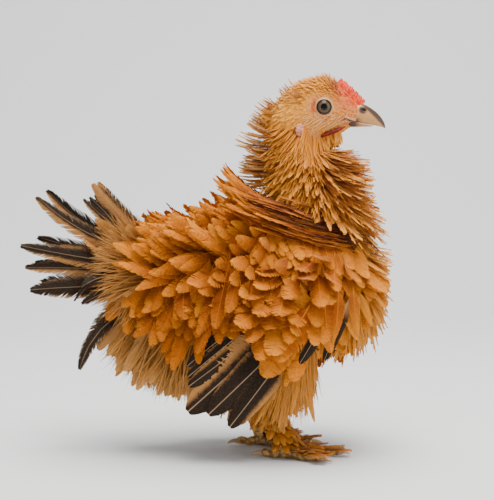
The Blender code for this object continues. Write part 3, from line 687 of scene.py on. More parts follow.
SPIKE, CAPE = (buff_material(*look) for look in (
    ("spike_feather", (0.50, 0.17, 0.016), (0.74, 0.36, 0.09), (0.86, 0.54, 0.24), (0.04, 0.012, 0.006)),
    # cape_feather: near black root and shaft colours, painted shade of the gap under the ruff
    ("cape_feather", (0.09, 0.013, 0.004), (0.44, 0.095, 0.008), (0.78, 0.27, 0.03), (0.10, 0.016, 0.008)),
))

LOBE = (8.6, 200.0)  # the ear lobe's x and z

# The coat's lower edge in the photo's view: places along x, and the height there at each.
NECK_HEM = (-39, -14, 9, 29, 40, 55, 67), (169, 154, 147, 139, 134, 130, 125)

# Each row is one long feather of the nape: its tip's x and z and the angle at which it points.
NAPE_TIPS = np.array((
    (-5.9, 224.0, 140), (-7.7, 219.0, 145), (-16.5, 215.0, 150), (-20.8, 209.0, 156), (-21.5, 203.5, 162),
    (-24.8, 201.8, 162), (-30.0, 191.6, 172), (-25.4, 184.3, 176), (-25.0, 180.8, 178), (-28.6, 177.3, 180),
    (-27.9, 173.6, 182), (-28.6, 170.5, 184), (-23.7, 164.3, 186),
))


def neck_places(spacing, seed, standing, nape):
    """Tufts of the neck: close at the sides, standing off in front and behind, short at the throat."""
    chance = np.random.default_rng(seed)
    root, normal, turn, spot = tiers(NECK_ROWS, False, 0.1, 4.9, spacing, chance)
    x, y, z = root.T
    front = (1 + np.cos(turn)) / 2
    up, throat = smooth(z, 140, 205), smooth(z, 187.5, 190)
    ruff = 30 + 24 * smooth(z, 158, 178) + 16 * smooth(z, 180, 186) - 74 * throat
    ruff = ruff - 14 * smooth(-z, -165, -135)
    lift = standing + (10 + nape * smooth(z, 150, 190)) * (1 - front) ** 2 + ruff * front**2
    along, out = strewn(chance, normal, (-0.3 * np.sin(turn) ** 2, 0, -1), 0.16, lift, 5)
    length = (23 - 6 * up * front + 12 * front**2) * (1 - 0.6 * throat * smooth(front, 0.8, 0.95))
    tip = root + along * length[:, None] * 0.96
    hem = np.interp(tip[:, 0], *NECK_HEM) - 26 * smooth(front, 0.86, 0.95)
    lobe = (np.hypot((x - LOBE[0]) / 3.4, (z - 204) / 5.5) < 1) & (np.abs(y) > 5)
    keep = (tip[:, 2] > hem) & ((z < 199) | (x < 14)) & ~lobe
    point = np.clip(0.75 + 0.2 * (1 - front) + chance.normal(0, 0.12, len(x)), 0, 1)
    table = tuft_table(chance, root - normal, along, out, spot, length=length,
                       width=6.0 - 1.5 * up + 3.2 * front**2 * (1 - up), curl=10.0, cup=0.12, point=point)
    return trimmed(trimmed(chosen(table, keep), FRONT_LINE), NAPE_LINE, -1)


def neck_coat():
    """Narrow feathers in tiers, and over them fine locks that hide where one ends and the next begins."""
    coat("coat_neck", NAPE, neck_places(3.0, 31, 8, 26), 14, 32, sweep=0.28, shaft=0.3, fray=1.0)
    down = neck_places(1.2, 33, 14, 40)
    down["width"] = np.full(len(down["width"]), 1.25)
    down["length"] *= 0.86
    coat("neck_down", NAPE, down)


def nape_spikes():
    """The long feathers of the table in eleven rows across the nape, their tips curled up."""
    chance = np.random.default_rng(34)
    rows = 11
    tips = np.tile(NAPE_TIPS, (rows, 1))
    count = len(tips)
    y = np.repeat(np.linspace(-12, 12, rows), len(NAPE_TIPS)) + chance.normal(0, 1.2, count)
    tips = tips + chance.normal(0, 1.0, (count, 1)) * (1.2, 1.6, 1.0)
    reach = chance.uniform(20, 27, count)
    turn = np.radians(tips[:, 2] + 10 + chance.normal(0, 2, count))
    ahead = xyz(np.cos(turn), y * 0.012, np.sin(turn))
    tip = xyz(tips[:, 0] + 0.035 * y**2, y, tips[:, 1] + chance.normal(0, 1.0, count))
    spot = (0.1 + 0.8 * np.arange(count) / count, 0.95)
    table = tuft_table(chance, tip - ahead * reach[:, None], ahead, (0, 0, 1), spot, length=1.0, width=3.5,
                       twist=np.sign(y) * -40, point=0.6)
    table["length"], table["curl"] = reach * chance.uniform(0.9, 1.04, count), chance.uniform(16, 34, count)
    coat("nape_spikes", SPIKE, table, 14, 36, sweep=0.3, shaft=0.95, fray=1.0)


def shoulder_line(x):
    """How far out and how high the gap under the ruff runs along each shoulder."""
    where = (-21, 4, 29, 39, 53)
    return np.interp(x, where, (28, 33, 31, 27, 20)), np.interp(x, where, (152, 148, 141.5, 137, 129))


def shoulder_tufts(seed):
    """Rounded curled feathers of the right shoulder below that gap."""
    chance = np.random.default_rng(seed)
    count = 110
    x = chance.uniform(-14, 52, count)
    wide, high = shoulder_line(x)
    fall = chance.uniform(6, 22, count)
    root = (x, -(wide - 1.5 + 0.28 * fall), high - fall)
    along = (chance.normal(0, 0.28, count), -0.4, -0.8)
    return tuft_table(chance, root, along, (0.25, -0.75, 0.6), (0.1 + 0.8 * (x + 14) / 66, 0.2 + 0.02 * fall),
                      length=20.0, width=9.5, curl=13.0, point=0.5, cup=0.12)


def cape(seed, count, width, first, last, drop=0.0):
    """Long narrow feathers of the right shoulder in near level shelves, seen edge on under the ruff."""
    chance = np.random.default_rng(seed)
    share = chance.uniform(first, last, count)
    x = 52 - 66 * share
    wide, high = shoulder_line(x)
    z = high - drop + chance.normal(0, 3.2, count)
    steep = smooth(share, 0.75, 1.0)
    along = (-0.95 + 0.2 * steep, -0.12 + chance.normal(0, 0.06, count), 0.24 + 0.36 * steep)
    out = (0.1, -0.25 - 0.8 * steep + chance.normal(0, 0.15, count), 1.0 - 0.4 * steep)
    return tuft_table(chance, (x, -(wide + 1 - 0.3 * (z - high)), z), along, out,
                      (0.1 + 0.8 * share, 0.4 + 0.02 * (z - high)), length=29 + 8 * share, width=width,
                      curl=9.0, point=0.85, cup=0.1)


def capes():
    """Narrow feathers along both shoulders, broader ones among and behind them, and round ones below."""
    coat("cape_strands", CAPE, both_sides(cape, 35, 104, 3.8, 0.0, 0.85), 18, 37, sweep=0.24, fray=0.8)
    broad = joined(cape(38, 34, 8.0, 0.72, 1.0, 2.0), cape(39, 44, 7.0, 0.1, 1.0, 7.0))
    coat("cape_lances", BODY, joined(broad, mirrored(broad)), 22, 40, sweep=0.24, fray=0.8)
    coat("shoulder_tufts", BODY, both_sides(shoulder_tufts, 48), 28, 50, fray=0.8)


neck_coat()
nape_spikes()
capes()


# Head coat. The face wears short dense feathers that lie back from the bill, longest at the nape,
# and leaves bare the lids, the lores before the eye and the strip beside the comb.

PALE = buff_material("face_feather", (0.60, 0.19, 0.012), (0.84, 0.36, 0.042), (0.92, 0.48, 0.10),
                     (0.7, 0.26, 0.04), (0.84, 0.14, 0.045))
BRISTLE = buff_material("face_bristle", (0.72, 0.42, 0.18), (0.84, 0.58, 0.32), (0.9, 0.68, 0.42),
                        (0.8, 0.5, 0.3))
COMB_FOOT, COMB_TOP = np.array((48.2, 216.2)), np.array((32.8, 230.4))


def head_row(x):
    """The head's section at x."""
    return row_at(HEAD_ROWS, np.interp(x, HEAD_ROWS[:, 0], np.arange(len(HEAD_ROWS))))


def head_places(spacing, seed):
    """Tufts of the head: the way they lie round the eye, and their size, least by bill and eye."""
    chance = np.random.default_rng(seed)
    root, normal, _, spot = tiers(HEAD_ROWS, True, 0.2, 6.8, spacing, chance)
    x, y, z = root.T
    behind = smooth(-x, -22, 6)
    away = np.hypot((x - EYE[0]) / 1.08, z - EYE[2])
    dip = -0.25 - 0.75 * behind * smooth(216 - z, -14, 10) - 0.8 * smooth(204 - z, -4, 4)
    lie = xyz(-1, 0, dip + 0.7 * np.sign(z - EYE[2]) * np.clip(1 - (away - 6) / 6, 0, 1))
    crown = smooth(z, 218, 225) * smooth(x, 2, 12)
    lift = 9 + 3 * behind + (25 - 6 * smooth(x, 16, 22) + 14 * smooth(x, 26, 32)) * crown
    lift += 15 * smooth(-x, -8, 4) * smooth(z, 204, 214) + chance.normal(0, 3, len(x))
    along, out = laid(normal, lie + chance.normal(0, 0.12, lie.shape), lift)
    size = np.clip(0.36 + 0.5 * smooth(away, 6, 17) + 0.25 * behind, 0, 1.1)
    size = size * (1 - 0.45 * smooth(x, 30, 40) * (1 - crown))
    table = tuft_table(chance, root - normal * 0.4, along, out, spot, length=8.0 * size,
                       width=2.4 * (0.35 + 0.65 * size), curl=5 - 14 * behind, point=0.75, cup=0.15)
    thin = chance.uniform(0, 1, len(x))
    eye = (away < 5.9) & (np.abs(y) > 6)
    crest = (x > 30) & (np.abs(y) < 2.0) & (z > 214)
    brow = COMB_OUT[0] * (x - COMB_FOOT[0]) + COMB_OUT[1] * (z - COMB_FOOT[1])
    bare = (x > 33) & (brow > -9) & (brow < 9) & (thin > 0.3 + 0.05 * np.maximum(-brow - 3, 0) ** 2)
    lobe = (np.hypot((x - LOBE[0]) / 2.8, (z - 200.3) / 4.6) < 1) & (np.abs(y) > 6) & (thin > 0.1)
    fold = (np.abs(z - 199.5 - 0.35 * (x - 29)) < 2.6) & (x > 20) & (np.abs(y) > 5)
    mouth = (np.abs(z - 208.0 + 0.42 * (x - 35)) < 1.7) & (x > 33.5)
    return trimmed(chosen(table, ~(eye | crest | bare | lobe | fold | mouth)), NAPE_LINE, -1)


def head_coat():
    """Small feathers in tiers, and over them finer locks like plush."""
    coat("coat_head", PALE, head_places(1.7, 41), 5, 42, shaft=0.12, fray=0.8)
    down = head_places(0.8, 43)
    down["length"] *= 0.72
    down["width"] = 0.34 + 0.05 * down["length"]
    down["bend"] *= 1.6
    coat("head_down", PALE, down, stops=(0, 6, 12, 16))


def throat_tufts():
    """Short feathers that hang from the chin, so that the throat is as full as in the photo."""
    chance = np.random.default_rng(46)
    count = 260
    x, y = chance.uniform(16, 33.5, count), chance.uniform(-6.5, 6.5, count)
    row = head_row(x)
    under = row[:, 2] - (row[:, 3] - SKIN_IN) * np.sqrt(1 - (y / row[:, 4]) ** 2)
    along = unit(xyz(chance.normal(0.02, 0.14, count), 0.03 * y, -1))
    table = tuft_table(chance, (x, y, under + 1), along, (0.5, np.sign(y), 0.1),
                       (0.3 + 0.4 * (x - 20) / 15, 0.97 + 0.002 * y), length=8.5 + 4 * smooth(-x, -30, -20),
                       width=2.8, curl=6.0, point=0.7, cup=0.15)
    # tones kept to the lighter half: painted light that lifts the shade under the head
    table["tone"] = 0.55 + 0.45 * table["tone"]
    coat("throat_tufts", PALE, table, 10, 47, sweep=0.26, shaft=0.2, fray=0.9)


def bristles():
    """Fine pale hairs that lie back over the cheek and under the bill."""
    chance = np.random.default_rng(45)
    root, normal, _, spot = tiers(HEAD_ROWS, True, 2.0, 6.6, 2.1, chance)
    x, _, z = root.T
    along, out = strewn(chance, normal, (-1, 0, -0.45 + 0.02 * (z - 205)), 0.1, 16, 4)
    table = tuft_table(chance, root - normal * 0.2, along, out, spot, length=5.2, width=0.36, curl=6.0,
                       point=0.9)
    keep = (z < 211 - 0.15 * np.abs(x - 24)) & (z > 202 + 0.35 * (x - 29)) & (x > 12)
    keep &= np.hypot(x - EYE[0], z - EYE[2]) > 6.6
    coat("face_bristles", BRISTLE, chosen(table, keep))


head_coat()
throat_tufts()
bristles()


# Wings. The flight feathers are black with a buff band along the upper edge and a pale quill, stacked
# like a half closed fan that droops past the thigh; buff coverts curl over their roots.


def dark_material(name, mottled, quill):
    """Black-brown vane with buff mottling and, on one edge, a soft buff band as wide as its tone says."""
    shade = Shade(name, 0.6, Specular_IOR_Level=0.14)
    uv, s, t, away, tone = vane_inputs(shade)
    streak = shade.noise(shade.stretched(uv, (4, 70, 1)), 3.0, 4.0)
    black = shade.mix(shade.ease(streak, 0.4, 0.7), (0.008, 0.004, 0.002), (0.044, 0.023, 0.010))
    worn = shade.mix(shade.ease(streak, 0.35, 0.65), (0.02, 0.012, 0.007), (0.30, 0.17, 0.08))
    black = shade.mix(shade.ease(away, 0.28, 0.5, 0.0, mottled), black, worn)
    buff = shade.mix(shade.ease(streak, 0.35, 0.7), (0.46, 0.21, 0.062), (0.35, 0.15, 0.040))
    wave = (shade.noise(shade.stretched(uv, (1, 5, 1)), 3.0) - 0.5) * 0.16
    edge = s + (tone * tone * 0.78 + 0.02) + (wave + (streak - 0.5) * 0.3)
    share = shade.math("MAXIMUM", shade.ease(edge, 0.9, 1.12), shade.ease(t, 0.1, 0.34, 1.0, 0.0))
    line = shade.ease(away, 0.010, 0.024, quill, 0.0)
    return shade.colour(shade.mix(line, shade.mix(share, black, buff), (0.42, 0.27, 0.15)))


# What flight and tail feathers share: where along a barb its points are, the quill's width, the slot.
BLADE = {"steps": (0.0, 0.36, 0.72, 1.0), "shaft": 0.9, "slot": "dark_feather"}
FLIGHT = dark_material("flight_feather", 0.15, 0.75)
TAIL = dark_material("tail_feather", 0.75, 0.35)

# Each row is one flight feather of the right wing: the root's x and z, y, the tip's x and z, width, band
# and the band's side.
FLIGHTS = np.array((
    (-9, 99, -37.0, -60, 60, 13, 0.10, 1), (-8, 94, -38.5, -59, 53, 15, 0.45, 1),
    (-4, 88, -40.0, -58, 47, 15, 0.45, 1), (0, 86, -42.0, -59, 32, 27, 0.60, 1),
    (6, 82, -43.5, -46, 30, 22, 0.10, 1), (8, 80, -45.0, -32, 22, 19, 0.42, -1),
    (27, 97, -49.0, 9, 61, 10, 0.35, 1), (37, 100, -46.5, 21, 64, 9, 0.10, 1),
), float)

# Each row is one large covert: the root's x and z, angle, length, width, y and point.
GREAT_COVERTS = np.array((
    (-22, 112, 262, 36, 13, -46, 0.4), (-14, 112, 264, 36, 14, -48.5, 0.3), (-9, 104, 262, 34, 14, -49, 0.2),
    (-4, 104, 256, 34, 16, -49.5, 0.1), (13, 97, 242, 49, 22, -54, 0.1), (1, 106, 268, 32, 14, -50, 0.2),
    (13, 102, 262, 36, 15, -49, 0.4), (22, 100, 256, 36, 13, -48, 0.5), (17, 106, 279, 36, 9, -50, 0.9),
    (30, 107, 272, 33, 9, -51, 0.8), (22, 104, 268, 31, 12, -52, 0.6), (39, 107, 277, 33, 9, -49, 0.8),
    (43, 104, 292, 25, 8, -38, 0.8), (8, 110, 272, 30, 13, -50, 0.2),
))


def sheet_spots(count, height):
    """Places in a row on the bake map, one for each large feather."""
    return 0.05 + (np.arange(count) + 0.5) * 0.9 / count, height


def flights(seed):
    """The flight feathers of the table, each a little off it so that the two wings differ."""
    chance = np.random.default_rng(seed)
    x, z, y, tip_x, tip_z, width, band, hand = FLIGHTS.T
    length = np.hypot(tip_x - x, tip_z - z)
    turn = np.arctan2(tip_z - z, tip_x - x) + np.radians(chance.normal(0, 0.5, len(x)))
    table = tuft_table(chance, (x, y, z), (np.cos(turn), -0.03, np.sin(turn)), (0.05, -1.0, 0.2),
                       sheet_spots(len(x), 0.2), width=width, length=length, curl=4.0, point=0.45, cup=0.1)
    table |= {"length": length, "width": width, "tone": band, "hand": hand}
    return table | {"bend": table["bend"] * 0.3, "twist": table["twist"] * 0.5}


def great_coverts(seed):
    """The few large soft feathers that hang over the flight feathers' roots."""
    chance = np.random.default_rng(seed)
    x, z, angle, length, width, y, point = GREAT_COVERTS.T
    turn = np.radians(angle + chance.normal(0, 1.5, len(x)))
    return tuft_table(chance, (x, y, z), (np.cos(turn), 0, np.sin(turn)), (0.1, -1.0, 0.25),
                      sheet_spots(len(x), 0.55), length=length, width=width, curl=4.0, point=point, cup=0.16)


def coverts(seed):
    """Tiers of broad curled feathers on the wing's outer face, the lowest the longest."""
    chance = np.random.default_rng(seed)
    root, normal, turn, spot = tiers(WING_ROWS, True, 0.35, 4.6, 7.3, chance, -1, WING_LEAN, 0.0,
                                     turns=(math.radians(-25), math.radians(152)))
    x, _, z = root.T
    low, front = smooth(turn, 1.2, 2.6), smooth(x, 6, 28)
    along, out = strewn(chance, normal, (-0.28 - 0.1 * low, 0, -1), 0.18, 18 - 5 * low - 4 * front, 4)
    point = 0.15 + (0.4 + 0.25 * front) * low + 0.15 * front + chance.normal(0, 0.12, len(x))
    table = tuft_table(chance, root - normal, along, out, spot, length=26 + (10 + 5 * front) * low,
                       width=14.5 + 1.5 * low - 1.5 * front, curl=(27 - 14 * low) * (1 - 0.4 * front),
                       point=np.clip(point, 0, 1), cup=0.1)
    return chosen(table, ((x > -16) | (z > 96)) & ((x > 5) | (z > 86)) & ((x < 20) | (x > 40) | (z > 101)))


# Where the drape's tips end: places along x, and the height there at each.
DRAPE_HEM = (-100, -88, -80, -70, -60, -55, -47, -32, -14), (80, 74, 65, 58, 58, 66, 71, 88, 92)


def drape(seed):
    """Long soft feathers that hang from the flank over the wing's upper edge, ending on a slant."""
    chance = np.random.default_rng(seed)
    found = []
    for row in range(8):
        x = np.arange(-88 + 2.7 * (row % 2), 0, 5.4)
        x = x + chance.normal(0, 1.4, len(x))
        tip = np.interp(x - (8 + 10 * smooth(-x, 50, 85)), *DRAPE_HEM)
        z = tip + 35 + row * 7.2 + chance.normal(0, 2.2, len(x))
        y = 0.06 * np.maximum(z - 95, 0) ** 1.4 - np.interp(x, (-92, -60, -30, -6), (15, 31, 43, 47))
        found.append(xyz(x, y, z)[z < np.interp(x, (-92, -60, -30, 0), (118, 128, 130, 132))])
    root = np.concatenate(found)
    x, _, z = root.T
    normal = unit(xyz(-0.25 * smooth(-x, 40, 90), -1, 0.1))
    along, out = strewn(chance, normal, (-0.18 - 0.35 * smooth(-x, 50, 90), 0, -1), 0.12, 11, 5)
    spot = (0.02 + 0.9 * (x + 95) / 95, 0.5 + 0.4 * (z - 40) / 95)
    table = tuft_table(chance, root, along, out, spot, length=37.0, width=11.5, cup=0.14,
                       curl=2 + 20 * smooth(z, 92, 122), point=0.52 - 0.35 * smooth(z, 95, 125))
    table["bend"] += chance.normal(0, 6, len(x))
    table["twist"] += chance.normal(0, 14, len(x))
    return table


def thigh_fringe(word, side):
    """Soft loose feathers and down that hang from the flank over the folded wing's front edge."""
    chance = np.random.default_rng(97 + side)
    for name, count, width, barbs in (("thigh_fringe", 24, 6.4, 18), ("thigh_haze", 300, 1.0, 0)):
        share = chance.uniform(0, 1, count)
        z = chance.uniform(52, 84, count)
        y = -(43 + 3.5 * np.sin(np.pi * share) + chance.uniform(0, 1.5, count)) + 0.1 * (84 - z)
        lean = np.radians(np.minimum(255 + 16 * share + chance.normal(0, 8, count), 273))
        length = np.clip(z - 24 - 20 * smooth(share, 0.5, 1), 20, 42)
        table = tuft_table(chance, (-2 + 19 * share, y, z), (np.cos(lean), 0.02, np.sin(lean)),
                           (0.1, -1.0, 0.1), (0.1 + 0.8 * share, z / 100), length=length, width=width,
                           curl=chance.normal(0, 6, count), point=0.75, cup=0.12)
        look = {"sweep": 0.28, "fray": 1.0} if barbs else {}
        coat(f"{name}_{word}", SOFT, table if side < 0 else mirrored(table), barbs, 98 + side, **look)


def wings():
    """Each wing's flight feathers, the coverts over their roots and the drape from the flank."""
    for word, seed in (("right", 51), ("left", 61)):
        turn_over = mirrored if word == "left" else dict
        coat(f"flight_{word}", FLIGHT, turn_over(flights(seed)), 90, seed, nodes=(f"wing_{word}",),
             sweep=0.13, fray=0.12, **BLADE)
        small = joined(turn_over(coverts(seed + 1)), turn_over(great_coverts(seed + 3)))
        coat(f"coverts_{word}", BODY, small, 52, seed, fray=0.8)
        coat(f"drape_{word}", DRAPE, turn_over(drape(seed + 2)), 40, seed, fray=0.9)


wings()
for word, side in SIDES.items():
    thigh_fringe(word, side)


# Tail. Black feathers with buff lower edges fan up and back from the rump, some twisted on their
# quills, out of a cloud of long soft buff coverts; paler fluff hangs under them.

# Each row is one feather of the right half: root x and z, angle, length, width, outward share, bend
# towards the buff edge, curl, twist and the buff band's width.
TAIL_FEATHERS = np.array((
    (-83, 127, 133, 54, 13, 0.08, -4, 6, 14, 0.98), (-85, 126, 138, 50, 9, 0.14, -6, 6, -20, 0.30),
    (-84, 125, 145, 52, 11, 0.18, -12, 4, -25, 0.60), (-84, 122, 163, 80, 17, 0.20, -28, 4, -4, 0.66),
    (-84, 120, 177, 60, 15, 0.14, -4, 8, 20, 1.00), (-84, 116, 171, 80, 15, 0.24, -5, 6, -8, 0.50),
    (-84, 113, 175, 76, 13, 0.20, 4, 6, 18, 0.66), (-86, 119, 187, 54, 7, 0.34, 50, 6, 25, 0.10),
    (-84, 108, 183, 60, 14, 0.18, 8, 8, -20, 1.00), (-86, 104, 178, 72, 18, 0.28, 6, 6, 4, 0.30),
    (-84, 96, 198, 64, 15, 0.36, 56, 8, -6, 0.25), (-86, 92, 214, 42, 13, 0.30, 18, 6, 10, 0.96),
    (-84, 114, 176, 46, 12, 0.46, 34, 8, -30, 0.20), (-86, 107, 187, 44, 14, 0.44, 22, 8, 20, 0.50),
    (-88, 119, 168, 30, 9, 0.50, 60, 6, 0, 0.10),
), float)


def tail_blades(seed):
    """The feathers of the table, each a little off it so that the two halves differ."""
    chance = np.random.default_rng(seed)
    x, z, angle, length, width, outward, bend, curl, twist, band = TAIL_FEATHERS.T
    count = len(angle)
    turn = np.radians(angle + chance.normal(0, 1.2, count))
    table = tuft_table(chance, (x, -3 - 16 * outward, z), (np.cos(turn), -outward, np.sin(turn)),
                       (0, -1.0, 0.1), sheet_spots(count, 0.2), length=length, width=width, point=0.6,
                       hand=-1.0)
    table |= {"length": length * chance.uniform(0.97, 1.02, count), "tone": band, "curl": curl, "bend": bend}
    return table | {"twist": twist + chance.normal(0, 6, count)}


def tail_cloud(seed, count, tilt, length, width, start):
    """Soft feathers whose directions fan between the two angles of tilt about the rump."""
    chance = np.random.default_rng(seed)
    share = (np.arange(count) + chance.uniform(0, 1, count)) / count
    turn = np.radians(tilt[0] + (tilt[1] - tilt[0]) * share)
    outward = chance.uniform(0.02, 0.5, count)
    root = (start - chance.uniform(0, 12, count), -2 - 22 * outward,
            121 - 14 * share + chance.normal(0, 2, count))
    return tuft_table(chance, root, (np.cos(turn), -outward, np.sin(turn)), (0, -1.0, 0.3),
                      (0.1 + 0.8 * share, 0.1 + 1.6 * outward), length=length, width=width, curl=12.0,
                      bend=chance.normal(0, 14, count), twist=chance.normal(0, 30, count),
                      point=chance.uniform(0.1, 0.6, count), cup=0.15)


def vent_fluff(seed):
    """Long downy feathers that hang back and down under the tail."""
    chance = np.random.default_rng(seed)
    root, normal, _, spot = tiers(TORSO_ROWS, True, 0.3, 2.6, 7.0, chance, -1, 0.0, 0.0,
                                  turns=(math.radians(118), math.radians(180)))
    along, out = strewn(chance, normal, (-0.6, 0, -1), 0.13, 20, 6)
    return tuft_table(chance, root - normal, along, out, spot, length=40.0, width=8.5, curl=-4.0, point=0.7,
                      cup=0.15)


def vent_down(seed, count, width):
    """Smoky down or loose feathers that hang from the flank and vent below the drape."""
    chance = np.random.default_rng(seed)
    share = chance.uniform(0, 1, count)
    x = -96 + 46 * share
    y = -chance.uniform(0.1, 1, count) ** 0.6 * np.interp(x, (-96, -80, -60, -50), (10, 20, 31, 34))
    z = chance.uniform(62, 86, count) + 12 * smooth(-x, 70, 96)
    lean = np.radians(236 + 28 * share + chance.normal(0, 9, count))
    length = (z - np.interp(x, (-96, -84, -70, -50), (62, 46, 37, 36))) * 0.95
    return tuft_table(chance, (x, y, z), (np.cos(lean), 0.004 * y, np.sin(lean)), (-0.3, -1.0, 0.1),
                      (0.1 + 0.8 * share, 0.1 + z / 110), length=length, width=width,
                      curl=chance.normal(0, 12, count), point=0.5, cup=0.12)


def tail():
    """The blades, the soft coverts and down round their roots, and the fluff and down under them."""
    coat("tail_feathers", TAIL, both_sides(tail_blades, 71), 70, 73, nodes=("tail",), fray=1.0, **BLADE)
    cloud = joined(both_sides(tail_cloud, 74, 34, (122, 236), 25.0, 10.5, -74),
                   both_sides(tail_cloud, 76, 9, (126, 200), 40.0, 12.0, -80))
    coat("tail_coverts", SMOKE, cloud, 30, 78, sweep=0.26, fray=1.0)
    coat("tail_down", SMOKE, both_sides(tail_cloud, 84, 1300, (124, 236), 34.0, 1.1, -76))
    fluff = joined(both_sides(vent_fluff, 81), both_sides(vent_down, 88, 46, 9.5))
    coat("vent_fluff", SMOKE, fluff, 26, 83, sweep=0.28, fray=1.0)
    coat("vent_down", SMOKE, both_sides(vent_down, 86, 800, 1.2))


tail()


# Thighs. Soft narrow feathers hang round each drumstick like breeches, down to just above the foot,
# with fine down over them. Both grow from the skin in tiers.

THIGH_LINE = (12, 30, 60, 85), (9, 11, 14, 26)  # heights, and how far forward the feathers reach there


def breeches(word, side):
    """Feathers in tiers down one drumstick and then fine down, each row of numbers one of the two."""
    chance = np.random.default_rng(90 + side)
    for name, first, spacing, spread, lift, wobble, end, most, width, point, barbs in (
        ("breeches", 0.5, 3.9, 0.22, 17, 7, 17, 27, 8.0, 0.7, 22),
        ("thigh_down", 0.3, 2.2, 0.2, 20, 6, 18, 24, 1.1, 0.0, 0),
    ):
        root, normal, _, spot = tiers(THIGH_ROWS, False, first, 3.9, spacing, chance, side)
        root = root + (ANKLE_X[side], 0, 0)
        z = root[:, 2]
        along, out = strewn(chance, normal, (-0.1, 0, -1), spread, lift, wobble)
        table = tuft_table(chance, root - normal, along, out, spot, length=np.clip(z - end, 8, most),
                           width=width, curl=chance.normal(4, 14, len(z)), point=point)
        look = {"sweep": 0.28, "fray": 1.0} if barbs else {}
        coat(f"{name}_{word}", SOFT, trimmed(table, THIGH_LINE), barbs, 92 + side, **look)


for word, side in SIDES.items():
    breeches(word, side)


# Eyes. A dark wet ball in its orbit with a grey-brown iris and a round pupil, coloured in rings round
# its middle, behind two thin wrinkled lids of bare skin that close round it.

EYE_RADIUS, IRIS, PUPIL = 6.6, 4.0, 2.1


def ball(name, centre, radii, tilt=0.0, rough=None):
    """An ellipsoid from the sines and cosines of two angles, tilted about Y by some degrees."""
    rings, sides = 48, 64
    low, round_it = rings_grid(np.pi, rings, sides)
    sphere = xyz(np.sin(low) * np.cos(round_it), np.sin(low) * np.sin(round_it), np.cos(low))
    points = sphere * radii
    if rough:
        points = points * rough(sphere)[..., None]
    x, y, z = np.moveaxis(points, -1, 0)
    cos, sin = math.cos(math.radians(tilt)), math.sin(math.radians(tilt))
    return mesh_object(name, xyz(x * cos + z * sin, y, z * cos - x * sin) + centre, grid_faces(rings, sides))


def eye_material():
    """Black pupil, grey-brown iris with rays and a dark rim, and nearly black beyond it."""
    shade = Shade("eyeball", 0.05, Specular_IOR_Level=0.22)
    away = shade.away(EYE[0], EYE[2])
    rays = shade.noise(shade.place(), 1400, 2.0)
    iris = shade.mix(rays, (0.050, 0.028, 0.014), (0.135, 0.082, 0.040))
    iris = shade.mix(shade.ease(away, 0.0030, 0.0041), iris, (0.02, 0.012, 0.008))
    pupil = shade.ease(away, PUPIL * MM * 0.94, PUPIL * MM * 1.06)
    beyond = shade.ease(away, IRIS * MM * 0.98, IRIS * MM * 1.12)
    colour = shade.mix(pupil, (0.003, 0.002, 0.002), iris)
    return shade.colour(shade.mix(beyond, colour, (0.012, 0.008, 0.006)))


def head_side(x, z):
    """How far the skin of the head lies from the middle plane at x and z."""
    row = head_row(x)
    high, wide = row[..., 3] - SKIN_IN, row[..., 4] - SKIN_IN
    return wide * np.sqrt(np.clip(1 - ((z - row[..., 2]) / high) ** 2, 0, 1))


def lids(word, side):
    """Rings round an oval opening, ridged like wrinkled lids, from the eyeball out to the skin."""
    count = 120
    turn = np.linspace(0, 2 * np.pi, count, endpoint=False)
    off = np.array((-0.25, 0.0, 0.25, 0.5, 0.8, 1.0, 1.25, 1.5, 1.8, 2.2, 2.7, 3.3))
    rise = np.array((-0.5, 0.2, 0.5, 0.5, 0.25, 0.08, 0.25, 0.3, 0.1, 0.12, 0.0, -0.7))
    opening = 1 / np.sqrt((np.cos(turn - 0.15) / 4.75) ** 2 + (np.sin(turn - 0.15) / 4.2) ** 2)
    reach = opening + off[:, None]
    x, z = EYE[0] + reach * np.cos(turn), EYE[2] + reach * np.sin(turn)
    on_ball = EYE[1] + np.sqrt(np.clip(EYE_RADIUS**2 - reach**2, 4, None))
    share = smooth(off, 0.0, 3.0)[:, None]
    wrinkle = 0.07 * np.sin(17 * turn + 2.2 * np.sin(3 * turn)) * smooth(off, 0.6, 1.4)[:, None]
    y = on_ball * (1 - share) + head_side(x, z) * share + rise[:, None] + wrinkle
    return mesh_object(f"lids_{word}", xyz(x, y * side, z), grid_faces(len(off), count))


def lid_material():
    """A cream rim next to the eye, then pink wrinkled skin."""
    shade = Shade("lid_skin", 0.5, Subsurface_Weight=0.1, Subsurface_Scale=0.001)
    away = shade.away(EYE[0], EYE[2])
    mottle = shade.noise(shade.place(), 900)
    shade.bump(mottle, 0.4, 0.0002)
    rim = shade.mix(mottle, (0.52, 0.25, 0.08), (0.74, 0.42, 0.17))
    pink = shade.mix(shade.ease(mottle, 0.35, 0.65), (0.52, 0.13, 0.04), (0.70, 0.28, 0.09))
    edge = shade.mix(shade.ease(away, 0.0046, 0.0051), (0.03, 0.012, 0.006), rim)
    return shade.colour(shade.mix(shade.ease(away, 0.0056, 0.0064), edge, pink))


def eyes():
    """A ball and a pair of lids on each side."""
    wet, lid = eye_material(), lid_material()
    for word, side in SIDES.items():
        dressed(ball(f"eyeball_{word}", EYE * (1, side, 1), (EYE_RADIUS,) * 3), wet, "eye", f"eye_{word}")
        dressed(lids(word, side), lid, "red_skin")


eyes()


# Comb, wattles and ear lobes. Bare granular skin: a low red comb with small points along the
# forehead, a thin red fold under each side of the bill, and a pale pink lobe below the ear.


def red_material(name, dark, light):
    """Granular skin, mottled between two colours."""
    shade = Shade(name, 0.5, Subsurface_Weight=0.06, Subsurface_Scale=0.0008, Specular_IOR_Level=0.3)
    place = shade.place()
    shade.bump(shade.cells(place, 1500), 0.8, 0.0003)
    return shade.colour(shade.mix(shade.ease(shade.noise(place, 500), 0.35, 0.65), dark, light))


